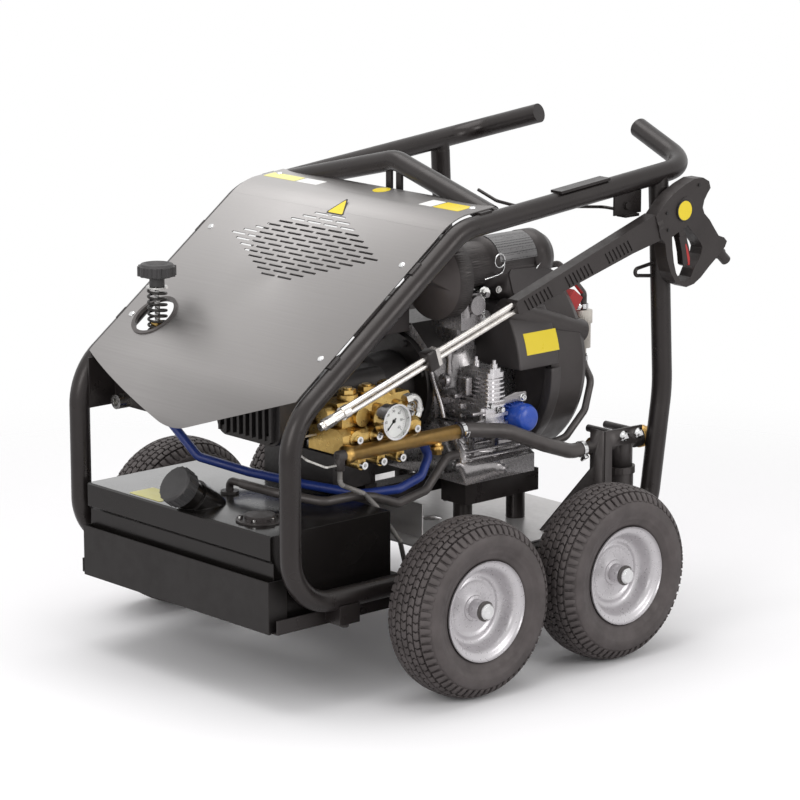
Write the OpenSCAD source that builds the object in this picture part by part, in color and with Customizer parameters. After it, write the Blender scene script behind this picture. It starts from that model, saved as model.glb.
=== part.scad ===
// Four-wheel petrol pressure washer. Front of the machine is -Y, +Z is up, wheels stand on z = 0.

/* [Frame] */
// Distance between the axes of the two side frames
frame_w = 600; // [590:5:660]
// Outer diameter of the frame tube
tube_d = 38; // [34:1:42]
// Y of the front tubes
front_y = -510; // [-516:1:-504]
// Height of the front knee above the floor tube
knee_rise = 321; // [310:1:330]
// Distance from the front tube back to the ridge
ridge_run = 398; // [385:1:410]
// Height of the ridge above the floor tube
ridge_rise = 619; // [605:1:640]
// Slope of the top tube, in degrees
top_slope = 5.6; // [4:0.2:7]
// Distance from the front tube back to the handle bend
handle_run = 981; // [968:1:990]
// How far a handle end stands from the middle plane
handle_x = 137; // [120:1:160]
// How far the handle end rises over its bend
handle_rise = 50; // [30:1:70]
// Rise of the lifting bar at its middle
bar_rise = 72; // [50:1:90]

/* [Wheels] */
// Outer diameter of a tyre
tyre_d = 326; // [310:1:340]
// Width of a tyre
tyre_w = 114; // [100:1:120]
// Distance between the middles of the left and right tyres
track = 822; // [816:1:860]
// Distance between the axles
wheelbase = 351; // [345:1:370]
// Y of the middle between the axles
wheel_mid_y = -17; // [-25:1:-10]
// Diameter of an axle
axle_d = 20; // [18:1:22]
// Outer diameter of the hub tube
hub_d = 46; // [40:1:50]

/* [Front panel] */
// Distance from the frame tube's axis in to the panel's edge
panel_edge = 7; // [5:0.5:12]
// Sheet thickness
sheet_t = 2; // [1.5:0.5:3]
// Gap between the frame tube and the panel
panel_gap = 3; // [2:0.5:5]
// Length of one cooling slot
slot_l = 39; // [30:1:42]
// Height of one cooling slot
slot_h = 4.5; // [3:0.5:6]
// Distance between two rows of slots
slot_pitch = 11.5; // [10:0.5:13]
// Diameter of the hole for the regulator
panel_hole_d = 84; // [74:1:88]
// Diameter of the panel's screws
screw_d = 6; // [5:1:8]

/* [Fuel tank] */
// Gap between the side of the tank and the frame tube
tank_gap = 19; // [14:1:26]
// Length of the tank
tank_l = 279; // [260:1:290]
// Height of the tank
tank_h = 170; // [150:1:180]
// Diameter of the filler cap
cap_d = 72; // [66:1:76]
// Tilt of the filler neck towards the front, in degrees
neck_tilt = 52; // [40:1:54]

/* [Pump] */
// Height of the pump's middle above the floor tube
pump_rise = 266; // [262:1:274]
// Distance between two cylinders of the pump
pump_pitch = 46; // [44:1:48]
// Diameter of the brass inlet rail
rail_d = 27; // [24:1:30]
// Diameter of the gauge
gauge_d = 66; // [56:1:68]

/* [Regulator] */
// Diameter of the knob
knob_d = 72; // [60:1:76]
// Outer diameter of the spring
spring_d = 38; // [34:1:42]
// Wire thickness of the spring
wire_d = 5; // [3:0.5:6]
// Turns of the spring
spring_turns = 8; // [6:1:9]

/* [Engine] */
// Height of the crankshaft above the floor tube
crank_rise = 292; // [286:1:296]
// Distance between two fins
fin_pitch = 8; // [7.5:0.1:8.4]
// Diameter of the blower housing
blower_d = 392; // [380:2:400]
// Fins on one cylinder
fin_n = 7; // [5:1:8]
// Diameter of the oil filter
filter_d = 54; // [48:1:60]

/* [Gun and lance] */
// Distance of the gun's middle plane from the frame tube's axis
gun_out = 40; // [38:1:46]
// Thickness of the gun body
gun_t = 30; // [26:1:34]
// Slope of the lance, in degrees
lance_slope = 17.9; // [15:0.2:20]
// Diameter of one lance tube
lance_d = 10; // [8:1:12]

/* [Hidden] */
$fn = 48;

fit = 0.05;          // running and seating clearance
play = 0.3;          // clearance between parts that move past each other
stem_travel = 12;    // how far the knob drives the stem down
lap = 1;             // how far a straight length runs into the bend after it
lap_d = 0.2;         // how much thicker a bend is drawn than the straights
black = "#3b3636";
dark = "#282424";
steel = "#c4c2be";
brass = "#c8a04a";
alu = "#8f8e90";

tube_r = tube_d / 2;
axle_z = tyre_d / 2;
floor_z = axle_z + axle_d / 2 + tube_r + 2;
side_x = frame_w / 2;
panel_w = frame_w - 2 * panel_edge;
tank_w = frame_w - tube_d - 2 * tank_gap;

// side frame path, in Y and Z
knee_z = floor_z + knee_rise;
ridge_y = front_y + ridge_run;
ridge_z = floor_z + ridge_rise;
slope_a = atan2(ridge_z - knee_z, ridge_y - front_y);
function top_z(y) = ridge_z + (y - ridge_y) * tan(top_slope);
handle_y = front_y + handle_run;
post_top_y = handle_y - 80;
post_knee_y = handle_y - 61;
post_knee_z = floor_z + 261;
post_foot_y = handle_y - 99;
toe_r = 90;
knee_r = 120;
ridge_r = 100;
heel_r = 80;
handle_r = 75;
handle_end = [handle_x, handle_y + 34, top_z(handle_y) + handle_rise];

front_axle_y = wheel_mid_y - wheelbase / 2;
rear_axle_y = wheel_mid_y + wheelbase / 2;
wheel_x = track / 2;

function unit(v) = v / norm(v);

// a round bar from a to b
module rod(a, b, d) {
  w = unit(b - a);
  side = abs(w.z) < 0.9 ? [0, 0, 1] : [0, 1, 0];
  u = unit(cross(side, w));
  v = cross(w, u);
  multmatrix([[u.x, v.x, w.x, a.x], [u.y, v.y, w.y, a.y], [u.z, v.z, w.z, a.z], [0, 0, 0, 1]])
    cylinder(d = d, h = norm(b - a));
}

// a tube bend that starts at a along u and leaves along v
module bend(a, u, v, r, d) {
  w = unit(cross(u, v));
  x = -cross(w, u);
  c = a - x * r;
  multmatrix([[x.x, u.x, w.x, c.x], [x.y, u.y, w.y, c.y], [x.z, u.z, w.z, c.z], [0, 0, 0, 1]])
    rotate_extrude(angle = acos(u * v)) translate([r, 0]) circle(d = d);
}

// a bent bar through the points p, with the bend radius r[i] at each inner point
module pipe(p, r, d) {
  n = len(p);
  u = [for (i = [0:n - 2]) unit(p[i + 1] - p[i])];
  t = [for (i = [0:n - 1]) i == 0 || i == n - 1 ? 0 : r[i] * tan(acos(u[i - 1] * u[i]) / 2)];
  for (i = [0:n - 2]) {
    assert(norm(p[i + 1] - p[i]) > t[i] + t[i + 1] + 1, str("bends meet at point ", i, " of ", p));
    rod(p[i] + u[i] * (t[i] - (i == 0 ? 0 : lap)),
      p[i + 1] - u[i] * (t[i + 1] - (i == n - 2 ? 0 : lap)), d);
  }
  for (i = [1:n - 2]) bend(p[i] - u[i - 1] * t[i], u[i - 1], u[i], r[i], d + lap_d);
}

// a pipe with one bend radius
module hose(p, r, d) pipe(p, [for (q = p) r], d);

// a 2D profile in Y and Z, extruded along X from x0
module along_x(x0, w) translate([x0, 0, 0]) rotate([90, 0, 90]) linear_extrude(w) children();
// a 2D profile in X and Z, extruded along Y from y0
module along_y(y0, w) translate([0, y0 + w, 0]) rotate([90, 0, 0]) linear_extrude(w) children();

module disc_x(x, y, z, d, h) translate([x, y, z]) rotate([0, 90, 0]) cylinder(d = d, h = h);
module disc_y(x, y, z, d, h) translate([x, y, z]) rotate([-90, 0, 0]) cylinder(d = d, h = h);
module disc_z(x, y, z, d, h) translate([x, y, z]) cylinder(d = d, h = h);
module hex_x(x, y, z, d, h) translate([x, y, z]) rotate([0, 90, 0]) cylinder(d = d, h = h, $fn = 6);
module hex_z(x, y, z, d, h) translate([x, y, z]) cylinder(d = d, h = h, $fn = 6);
module box(x0, x1, y0, y1, z0, z1) translate([x0, y0, z0]) cube([x1 - x0, y1 - y0, z1 - z0]);
// a square-cornered profile with rounded corners
module round_rect(w, h, r) {
  square([w - 2 * r, h], center = true);
  square([w, h - 2 * r], center = true);
  for (x = [-1, 1], y = [-1, 1]) translate([x * (w / 2 - r), y * (h / 2 - r)]) circle(r = r);
}

// ---- frame ----

function in_side(y, z) = [side_x, y, z];
side_path = [
  handle_end, in_side(handle_y, top_z(handle_y)), in_side(ridge_y, ridge_z), in_side(front_y, knee_z),
  in_side(front_y, floor_z), in_side(post_foot_y, floor_z), in_side(post_knee_y, post_knee_z),
  in_side(post_top_y, top_z(post_top_y) - tube_r - 3)];

// puts its children on the slope: x across, y up the slope from the knee, z out of the tube's axis plane
module on_slope() translate([0, front_y, knee_z]) rotate([slope_a, 0, 0]) children();
// the same along the top tube, from the ridge
module on_top() translate([0, ridge_y, ridge_z]) rotate([top_slope, 0, 0]) children();

slope_l = norm([ridge_y - front_y, ridge_z - knee_z]);
tab_x = side_x - 33;
panel_lift = tube_r + panel_gap;
slope_screws = [0.285 * slope_l, 0.76 * slope_l];
top_screw = 62;
tab_t = panel_gap + 1;

module screw_tab() {
  difference() {
    translate([tab_x - 12, -14, panel_lift - tab_t]) cube([48, 28, tab_t]);
    translate([tab_x, 0, panel_lift - tab_t - 1]) cylinder(d = screw_d + 2 * fit, h = tab_t + 2);
  }
}

module side_frame() {
  color(black) {
    pipe(side_path, [0, handle_r, ridge_r, knee_r, toe_r, heel_r, 300, 0], tube_d);
    rod(side_path[7] - [0, 0, 8], in_side(post_top_y, top_z(post_top_y)), tube_d - 1);
    on_slope() for (u = slope_screws) translate([0, u, 0]) screw_tab();
    on_top() translate([0, top_screw, 0]) screw_tab();
  }
}
module side_frame_right() side_frame();
module side_frame_left() mirror([1, 0, 0]) side_frame();

bar_y = ridge_y + 93;
bar_apex_y = bar_y + 22;
bar_end = [side_x, bar_y, top_z(bar_y)];
bar_top = [0, bar_apex_y, top_z(bar_y) + bar_rise];
bar_dir = unit(bar_end - bar_top);
strap_z = top_z(bar_y) - 2;

module lift_bar() {
  color(black) {
    for (s = [-1, 1]) {
      difference() {
        rod([0, bar_top.y, bar_top.z], [s * bar_end.x, bar_end.y, bar_end.z], tube_d - 4);
        rod([s * side_x, ridge_y, ridge_z], [s * side_x, handle_y, top_z(handle_y)], tube_d);
        box(s > 0 ? -60 : 0, s > 0 ? 0 : 60, -100, 100, 500, 1200);
      }
    }
    pipe([for (s = [-1, 0, 1]) s == 0 ? bar_top : bar_top + [s * bar_dir.x, bar_dir.y, bar_dir.z]
        * (norm(bar_end - bar_top) - tube_r - 3)], [0, 70, 0], tube_d);
    for (x = [-22, 6]) difference() {
      box(x, x + 14, bar_apex_y - 5, bar_apex_y + 1, strap_z, bar_top.z - 6);
    }
    box(-40, 40, bar_apex_y - 9, bar_apex_y - 5, strap_z - 8, strap_z + 12);
  }
}

// ---- chassis ----

rail_t = 3;
rail_z = floor_z - tube_r - 29;
rail_x = side_x - tube_r;
rail_y0 = front_y - 15;
rail_y1 = rear_axle_y + 50;
saddle_y = front_y + 118;

module rail() {
  difference() {
    union() {
      box(rail_x - rail_t, rail_x, rail_y0, rail_y1, rail_z, floor_z - tube_r - 3);
      box(rail_x - 36, rail_x, rail_y0, rail_y1, rail_z, rail_z + rail_t);
    }
    for (y = [front_axle_y, rear_axle_y]) disc_x(rail_x - 9, y, axle_z, axle_d + 2 * fit, 18);
  }
  difference() {
    box(rail_x, side_x + 20, saddle_y - 23, saddle_y + 23, rail_z + 4, floor_z - 9);
    disc_x_tube();
  }
  hex_z(side_x + 5, saddle_y, rail_z - 4, 16, 8);
}
module disc_x_tube() rod([side_x, front_y + toe_r, floor_z], [side_x, post_foot_y - 60, floor_z], tube_d);

cross_y = [front_axle_y + 32, rear_axle_y - 78];
module chassis_rails() {
  color(black) {
    rail();
    mirror([1, 0, 0]) rail();
    for (y = cross_y) box(3 - rail_x, rail_x - 3, y, y + 46, rail_z + rail_t, rail_z + rail_t + 4);
  }
}

saddle_w = 44;
module axle_saddles() {
  color(black) for (s = [-1, 1], y = [front_axle_y, rear_axle_y]) difference() {
    box(s * (side_x + 5) - saddle_w / 2, s * (side_x + 5) + saddle_w / 2, y - 26, y + 26,
      axle_z - axle_d / 2 - 7, floor_z - 5);
    translate([s * side_x, y, floor_z]) rotate([90, 0, 0]) cylinder(d = tube_d, h = 80, center = true);
    disc_x(s * (side_x + 5) - 40, y, axle_z, axle_d + 2 * fit, 80);
  }
}

base_z = floor_z + tube_r;
base_t = 3;
base_y0 = -120;
base_y1 = post_foot_y - 70;
module base_plate() {
  color("#c9c8c6") difference() {
    box(-side_x - 8, side_x + 8, base_y0, base_y1, base_z, base_z + base_t);
    for (x = [-60, 60]) disc_z(x, 40, base_z - 1, 40, base_t + 2);
  }
  color("#c9c8c6") box(-side_x + 140, side_x - 140, base_y0 + 44, base_y0 + 47, base_z, stand_z - 31);
}

axle_l = track + tyre_w - 20;
module axles() {
  color(steel) for (y = [front_axle_y, rear_axle_y]) disc_x(-axle_l / 2, y, axle_z, axle_d, axle_l);
}

module axle_caps() {
  for (s = [-1, 1], y = [front_axle_y, rear_axle_y]) translate([0, y, axle_z]) rotate([0, s * 90, 0]) {
    color(dark) difference() {
      translate([0, 0, axle_l / 2 - 7]) cylinder(d = 34, h = 4);
      translate([0, 0, axle_l / 2 - 8]) cylinder(d = axle_d + 2 * fit, h = 6);
    }
    color(steel) difference() {
      translate([0, 0, axle_l / 2 - 3]) rotate_extrude() polygon([[0, 0], [15, 0], [15, 6], [12, 9],
        [0, 10]]);
      translate([0, 0, axle_l / 2 - 4]) cylinder(d = axle_d + 2 * fit, h = 4);
    }
  }
}

// ---- wheels ----

rim_r = 91.5;
seat_r = 77;
drop_r = 62;
rim_half = 49;
lip = 3;
// half outline of the tyre: an ellipse-like shoulder over the widest point, a rounder wall below it
wide_r = 121;
tyre_r = tyre_d / 2;
shoulder = [for (i = [0:8]) let (a = 11.25 * i)
  [wide_r + (tyre_r - wide_r) * pow(sin(a), 0.8), tyre_w / 2 * pow(cos(a), 0.8)]];
wall = [for (i = [0:4]) let (a = 22.5 * i)
  [rim_r + 2 + (wide_r - rim_r - 2) * sin(a), rim_half - 4 + (tyre_w / 2 - rim_half + 4) * sin(a)]];
inner_wall = [for (i = [0:6]) let (a = 15 * i)
  [seat_r + 9 + (tyre_r - 13 - seat_r - 9) * sin(a), (tyre_w / 2 - 8) * pow(cos(a), 0.7)]];

function flip(points) = [for (i = [len(points) - 1:-1:0]) [points[i].x, -points[i].y]];
outer_half = concat([[seat_r + fit, 30], [seat_r + fit, rim_half - 8.5], [seat_r + 3.3, rim_half - 5.2],
  [rim_r + 2, rim_half - 4]], wall, [for (i = [1:8]) shoulder[i]]);
inner_half = concat([for (i = [6:-1:1]) inner_wall[i]], [[seat_r + 9, 34], [seat_r + 4, 30]]);
module tyre_profile() {
  polygon(concat(outer_half, [for (q = flip(outer_half)) if (q.y < -0.01) q],
    flip(inner_half), [for (q = inner_half) if (q.y > 0.01) q]));
}

groove_x = [13, 38];
groove_w = 5;
groove_deep = 5;

module tyre(x, y) {
  color(dark) translate([x, y, axle_z]) rotate([0, 90, 0]) difference() {
    rotate_extrude() tyre_profile();
    for (s = [-1, 1], g = groove_x) translate([0, 0, s * g - groove_w / 2]) difference() {
      cylinder(r = tyre_r + 5, h = groove_w);
      translate([0, 0, -1]) cylinder(r = tyre_r - groove_deep, h = groove_w + 2);
    }
  }
}
module tyre_front_right() tyre(wheel_x, front_axle_y);
module tyre_front_left() tyre(-wheel_x, front_axle_y);
module tyre_rear_right() tyre(wheel_x, rear_axle_y);
module tyre_rear_left() tyre(-wheel_x, rear_axle_y);

hub_end = axle_l / 2 - 7 - play - wheel_x;
// the pressed rim: barrel with lips, a dished disc with a raised ring, and the hub tube
module rim(x, y, s) {
  color(steel) translate([x, y, axle_z]) rotate([0, s * 90, 0]) rotate_extrude() polygon([
    [axle_d / 2 + fit, hub_end], [hub_d / 2, hub_end], [hub_d / 2, 1], [34, 1], [36, -3], [51, -5],
      [53, -3], [56, -3],
    [drop_r - 3, -6], [drop_r - 1, 8], [drop_r + 3, 18], [seat_r - 7, 30], [seat_r - 4, rim_half - 10],
      [seat_r - 3, rim_half - 4],
    [seat_r, rim_half], [rim_r, rim_half], [rim_r, rim_half - lip], [seat_r + 3, rim_half - 5],
      [seat_r, rim_half - 8],
    [seat_r, 24], [drop_r + 2, 8], [drop_r, -6], [drop_r, -20], [seat_r, -30], [seat_r, 8 - rim_half],
    [seat_r + 3, 5 - rim_half], [rim_r, lip - rim_half], [rim_r, -rim_half], [seat_r - 1, 2 - rim_half],
    [seat_r - 3, 7 - rim_half], [seat_r - 3, -31], [drop_r - 3, -21], [drop_r - 3, -12], [57, -9],
      [55, -6], [53, -6],
    [50, -8], [34, -6], [32, -2], [hub_d / 2, -2], [hub_d / 2, 5 - rim_half],
      [axle_d / 2 + fit, 5 - rim_half]]);
}
module rim_front_right() rim(wheel_x, front_axle_y, 1);
module rim_front_left() rim(-wheel_x, front_axle_y, -1);
module rim_rear_right() rim(wheel_x, rear_axle_y, 1);
module rim_rear_left() rim(-wheel_x, rear_axle_y, -1);

// ---- front panel ----

knee_turn = 90 - slope_a;
knee_t = knee_r * tan(knee_turn / 2);
ridge_turn = slope_a - top_slope;
ridge_t = ridge_r * tan(ridge_turn / 2);
panel_rear = ridge_y + 92;
tip_z = knee_z - 52;
tip_r = 140;
cut_a = 18;

// a bent strip of sheet round the point (y, z), from angle a0 on
module sheet_arc(y, z, r, a0, a1) {
  translate([-panel_w / 2, y, z]) rotate([90, 0, 90]) rotate([0, 0, a0]) rotate_extrude(angle = a1 - a0)
    translate([r + panel_lift - lap_d / 2, 0]) square([sheet_t + lap_d, panel_w]);
}

module slot_shape() {
  square([slot_l - slot_h, slot_h], center = true);
  for (s = [-1, 1]) translate([s * (slot_l - slot_h) / 2, 0]) circle(d = slot_h, $fn = 16);
}

slot_rows = 7;
slot_step = slot_l + 7;
slot_u = 0.758 * slope_l;
hole_x = -207;
hole_u = 0.302 * slope_l;

module slot_field() {
  for (i = [-slot_rows:slot_rows]) let (half = 216 - 21.6 * abs(i),
    n = floor(half / slot_step + 0.5 * abs(i % 2)))
    for (k = [-n:n]) let (x = (k + (i % 2 == 0 ? 0 : 0.5)) * slot_step)
      if (abs(x) + slot_l / 2 <= half + 4) translate([x, i * slot_pitch]) slot_shape();
}

module sheet_outline() {
  wide = panel_w / 2 + 20;
  top = ridge_z + 200;
  tip = [for (a = [-cut_a:3:cut_a]) [tip_r * sin(a), tip_z + tip_r / cos(cut_a) - tip_r * cos(a)]];
  polygon(concat([[-wide, top], [-wide, tip_z + wide * tan(cut_a)]],
    tip, [[wide, tip_z + wide * tan(cut_a)], [wide, top]]));
}

module front_panel() {
  color("#aaa6a4") intersection() {
    difference() {
      union() {
        on_slope() translate([-panel_w / 2, knee_t - lap, panel_lift])
          cube([panel_w, slope_l - knee_t - ridge_t + 2 * lap, sheet_t]);
        on_top() translate([-panel_w / 2, ridge_t - lap, panel_lift])
          cube([panel_w, panel_rear - ridge_y - ridge_t + lap, sheet_t]);
        sheet_arc(front_y + knee_r, knee_z - knee_t, knee_r, 90 + slope_a, 180);
        sheet_arc(ridge_y + ridge_t * cos(top_slope) + ridge_r * sin(top_slope),
          ridge_z + ridge_t * sin(top_slope) - ridge_r * cos(top_slope), ridge_r, 90 + top_slope,
            90 + slope_a);
        box(-panel_w / 2, panel_w / 2, front_y - panel_lift - sheet_t, front_y - panel_lift, tip_z - 5,
          knee_z - knee_t + lap);
      }
      on_slope() {
        translate([0, slot_u, panel_lift - 1]) linear_extrude(sheet_t + 2) slot_field();
        translate([hole_x, hole_u, panel_lift - 1]) cylinder(d = panel_hole_d, h = sheet_t + 2);
        for (s = [-1, 1], u = slope_screws) translate([s * tab_x, u, panel_lift - 1])
          cylinder(d = screw_d + 2 * fit, h = sheet_t + 2);
      }
      on_top() for (s = [-1, 1]) translate([s * tab_x, top_screw, panel_lift - 1])
        cylinder(d = screw_d + 2 * fit, h = sheet_t + 2);
      // notches for the lifting bar
      for (s = [-1, 1]) rod([0, bar_top.y, bar_top.z], [s * side_x, bar_end.y, bar_end.z], tube_d);
    }
    along_y(front_y - 100, 1000) sheet_outline();
  }
}

module panel_screw() {
  translate([0, 0, panel_lift + sheet_t]) rotate_extrude() polygon([[0, 0], [6.5, 0], [6, 1.6],
    [4, 2.8], [0, 3.2]]);
  translate([0, 0, panel_lift - tab_t - 2]) cylinder(d = screw_d, h = tab_t + sheet_t + 2.5);
}
module panel_screws() {
  color(steel) {
    on_slope() for (s = [-1, 1], u = slope_screws) translate([s * tab_x, u, 0]) panel_screw();
    on_top() for (s = [-1, 1]) translate([s * tab_x, top_screw, 0]) panel_screw();
  }
}

module panel_grommet() {
  color(dark) on_slope() translate([hole_x, hole_u, panel_lift]) rotate_extrude() difference() {
    translate([panel_hole_d / 2 - 1.2, -2.5]) square([7.2, sheet_t + 5]);
    translate([panel_hole_d / 2, 0]) square([7, sheet_t]);
  }
}

// ---- fuel tank ----

tank_z = rail_z + rail_t;
tank_top = tank_z + tank_h;
tank_y0 = front_y - 14;
tank_y1 = tank_y0 + tank_l;
neck_at = [6, tank_y0 + 56, tank_top];
neck_dir = [0, -sin(neck_tilt), cos(neck_tilt)];
neck_d = cap_d - 14;
neck_l = 68;

module tank_side() {
  polygon([[tank_y0 + 7, tank_z], [tank_y0 + 7, tank_top - 50], [tank_y0, tank_top - 43],
    [tank_y0, tank_top - 3],
    [tank_y0 + 3, tank_top], [tank_y1 - 3, tank_top], [tank_y1, tank_top - 3], [tank_y1, tank_z]]);
}
module fuel_tank() {
  color(black) {
    along_x(-tank_w / 2, tank_w) tank_side();
    rod(neck_at - neck_dir * 20, neck_at + neck_dir * neck_l, neck_d);
    rod(neck_at - neck_dir * 26, neck_at + neck_dir * 30, neck_d + 9);
  }
}

guard_t = 3;
guard_x = tank_w / 2 + 4;
guard_y = tank_y0 - 8;
module tank_guard() {
  color(black) difference() {
    box(-guard_x, guard_x, guard_y, tank_y0 + 34, rail_z - 1, tank_z + 90);
    box(guard_t - guard_x, guard_x - guard_t, guard_y + guard_t, tank_y0 + 60, rail_z - 2, tank_z + 120);
    box(-guard_x - 1, guard_x + 1, rail_y0 - 1, tank_y0 + 60, rail_z - 2, rail_z + rail_t);
  }
  color(black) for (z = [tank_z + 12, tank_z + 60]) box(-180, 180, guard_y + guard_t, tank_y0 + 7, z,
    z + 14);
}

cap_l0 = 28;
module fuel_cap() {
  color(dark) {
    w = neck_dir;
    multmatrix([[1, 0, 0, neck_at.x], [0, -w.z, w.y, neck_at.y], [0, w.y, w.z, neck_at.z], [0, 0, 0, 1]])
      mirror([0, 1, 0]) translate([0, 0, neck_l - 14]) difference() {
        union() {
          cylinder(d = cap_d - 3, h = cap_l0 - 3);
          translate([0, 0, cap_l0 - 3]) cylinder(d1 = cap_d - 3, d2 = cap_d - 10, h = 3);
          for (a = [0:20:340]) rotate([0, 0, a]) translate([cap_d / 2 - 2.2, 0, 2])
            cylinder(d = 5, h = cap_l0 - 6);
        }
        translate([0, 0, -1]) cylinder(d = neck_d + 2 * fit, h = 15.5);
      }
  }
}

sender_at = [160, tank_y0 + 62, tank_top];
elbow_at = [-26, tank_y0 + 145, tank_top];
module tank_fittings() {
  color(dark) {
    disc_z(sender_at.x, sender_at.y, sender_at.z, 86, 3);
    disc_z(sender_at.x, sender_at.y, sender_at.z + 3, 54, 8);
    for (a = [0:72:288]) translate(sender_at + [35 * cos(a), 35 * sin(a), 2]) cylinder(d = 8, h = 5);
    disc_z(elbow_at.x, elbow_at.y, elbow_at.z, 34, 5);
    pipe([elbow_at, elbow_at + [0, 0, 24], elbow_at + [34, 0, 24]], [0, 12, 0], 14);
  }
}

// ---- pump ----

pump_z = floor_z + pump_rise;
pump_x = 20;
pump_y = [-372, -118];
foot_y = [pump_y[1] - 92, pump_y[1] - 30];
foot_w = 14;
head_x = [pump_x + 89, 203];
head_y = [-305, -118];
cyl_y = [for (i = [-1:1]) -204 + i * pump_pitch];
bolt_y = [for (i = [-1:2]) -228 + i * pump_pitch];
rail_x0 = 214;
rail_zc = pump_z - 38;

module pump_crankcase() {
  color(dark) {
    along_y(pump_y[0], pump_y[1] - pump_y[0]) translate([pump_x, pump_z + 20]) round_rect(178, 112, 26);
    for (i = [-4:4]) box(pump_x + i * 18 - 3, pump_x + i * 18 + 3, pump_y[0] - 9, pump_y[0] + 1,
      pump_z - 26, pump_z + 66);
    for (i = [0:10]) box(pump_x - 97, pump_x + 60, pump_y[0] + 14 + i * 22, pump_y[0] + 19 + i * 22,
      pump_z - 20, pump_z + 60);
    for (x = [-62, 62], z = [-24, 60]) disc_y(pump_x + x, pump_y[0] - 6, pump_z + z, 16, 8);
    for (x = [-60, 60], y = foot_y)
      box(pump_x + x - 16, pump_x + x + 16, y - foot_w, y + foot_w, pump_z - 74, pump_z - 30);
  }
}

module pump_head() {
  color(brass) difference() {
    union() {
      along_y(head_y[0], head_y[1] - head_y[0]) polygon([[head_x[0], pump_z - 44],
        [head_x[1] - 10, pump_z - 44],
        [head_x[1], pump_z - 36], [head_x[1], pump_z - 8], [head_x[1] - 16, pump_z + 2], [head_x[0],
          pump_z + 2]]);
      along_y(head_y[0] + 14, head_y[1] - head_y[0] - 14) polygon([[head_x[0], pump_z],
        [head_x[1] - 18, pump_z],
        [head_x[1] - 18, pump_z + 24], [head_x[1] - 34, pump_z + 44], [head_x[0] + 12, pump_z + 44],
          [head_x[0], pump_z + 30]]);
      for (y = cyl_y) {
        disc_z(head_x[0] + 43, y, pump_z + 30, 38, 24);
        disc_x(head_x[0] + 30, y, pump_z + 18, 34, head_x[1] - head_x[0] - 38);
        disc_x(head_x[0] + 60, y - 22, pump_z - 62, 19, 46);
        box(head_x[0] + 64, head_x[0] + 106, y - 30, y - 12, pump_z - 60, pump_z - 40);
      }
      for (y = bolt_y) disc_x(head_x[0] + 8, y, pump_z - 17, 30, head_x[1] - head_x[0] - 6);
      disc_y(head_x[0] + 46, head_y[0] - 8, pump_z + 22, 34, 30);
      disc_x(head_x[1] - 20, gauge_at.y, gauge_at.z, 34, gauge_at.x - 34 - head_x[1] + 20);
    }
    translate([rail_x0, head_y[0] - 40, rail_zc]) rotate([-90, 0, 0]) cylinder(d = rail_d, h = 340);
    disc_y(rail_x0, head_y[0] - 40, rail_zc, rail_d + 6, 47);
  }
}

module valve_caps() {
  color(brass) for (y = cyl_y) {
    hex_z(head_x[0] + 43, y, pump_z + 54, 32, 9);
    disc_z(head_x[0] + 43, y, pump_z + 63, 18, 3);
  }
}

module pump_bolts() {
  color(steel) {
    difference() {
      union() {
        disc_x(head_x[1] - 18, head_y[1] - 18, pump_z + 20, 30, 17);
        disc_x(head_x[1] - 2, head_y[1] - 18, pump_z + 20, 18, 9);
      }
      disc_x(head_x[0] + 30, cyl_y[2], pump_z + 18, 34, head_x[1] - head_x[0] - 38);
    }
    for (y = bolt_y) translate([head_x[1] + 2, y, pump_z - 17]) rotate([0, 90, 0]) difference() {
      cylinder(d = 14, h = 10);
      translate([0, 0, 4]) cylinder(d = 7, h = 8, $fn = 6);
    }
    for (y = cyl_y) translate([head_x[0] + 106, y - 22, pump_z - 62]) rotate([0, 90, 0]) difference() {
      cylinder(d = 14, h = 10);
      translate([0, 0, 4]) cylinder(d = 7, h = 8, $fn = 6);
    }
  }
}

rail_y = [-306, -40];
module inlet_rail() {
  color(brass) {
    disc_y(rail_x0, rail_y[0], rail_zc, rail_d, rail_y[1] - rail_y[0]);
    disc_y(rail_x0, rail_y[0] - 6, rail_zc, rail_d + 6, 14);
    disc_z(rail_x0, -89, rail_zc - 34, 18, 34);
    disc_z(rail_x0, -89, rail_zc - 26, 24, 8);
  }
  color(dark) {
    disc_y(rail_x0, rail_y[0] - 22, rail_zc, 20, 18);
    disc_z(rail_x0, rail_y[0] - 16, rail_zc - 26, 18, 30);
  }
}

gauge_at = [240, -210, pump_z + 11];
module gauge_case() {
  color(steel) {
    translate(gauge_at - [34, 0, 0]) rotate([0, 90, 0]) difference() {
      union() {
        cylinder(d = gauge_d - 16, h = 10);
        translate([0, 0, 9]) cylinder(d = gauge_d - 5, h = 21);
        translate([0, 0, 28]) cylinder(d = gauge_d, h = 8);
      }
      translate([0, 0, 24]) cylinder(d = gauge_d - 7, h = 20);
    }
  }
}
module gauge_dial() {
  color("white") translate(gauge_at - [10, 0, 0]) rotate([0, 90, 0]) difference() {
    cylinder(d = gauge_d - 7 - 2 * fit, h = 1.5);
    translate([0, 0, -1]) cylinder(d = 3 + 2 * fit, h = 4);
  }
}
module gauge_needle() {
  color(dark) translate(gauge_at - [10, 0, 0]) rotate([135, 0, 0]) {
    rotate([0, 90, 0]) cylinder(d = 3, h = 4);
    translate([2, 0, 0]) rotate([0, 90, 0]) cylinder(d = 7, h = 1.5);
    translate([2, -0.9, -7]) cube([1.2, 1.8, 28]);
  }
}
module gauge_glass() {
  color([0.9, 0.95, 1, 0.4]) disc_x(gauge_at.x - 2, gauge_at.y, gauge_at.z, gauge_d - 7 - 2 * fit, 2);
}

// ---- pressure regulator ----

reg_y = front_y + 99;
reg = [-190, reg_y, floor_z + 400];       // top of the valve body
knob_z = reg.z + 105;                       // underside of the knob
spring_z0 = reg.z;
spring_z1 = knob_z - 20;

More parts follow.
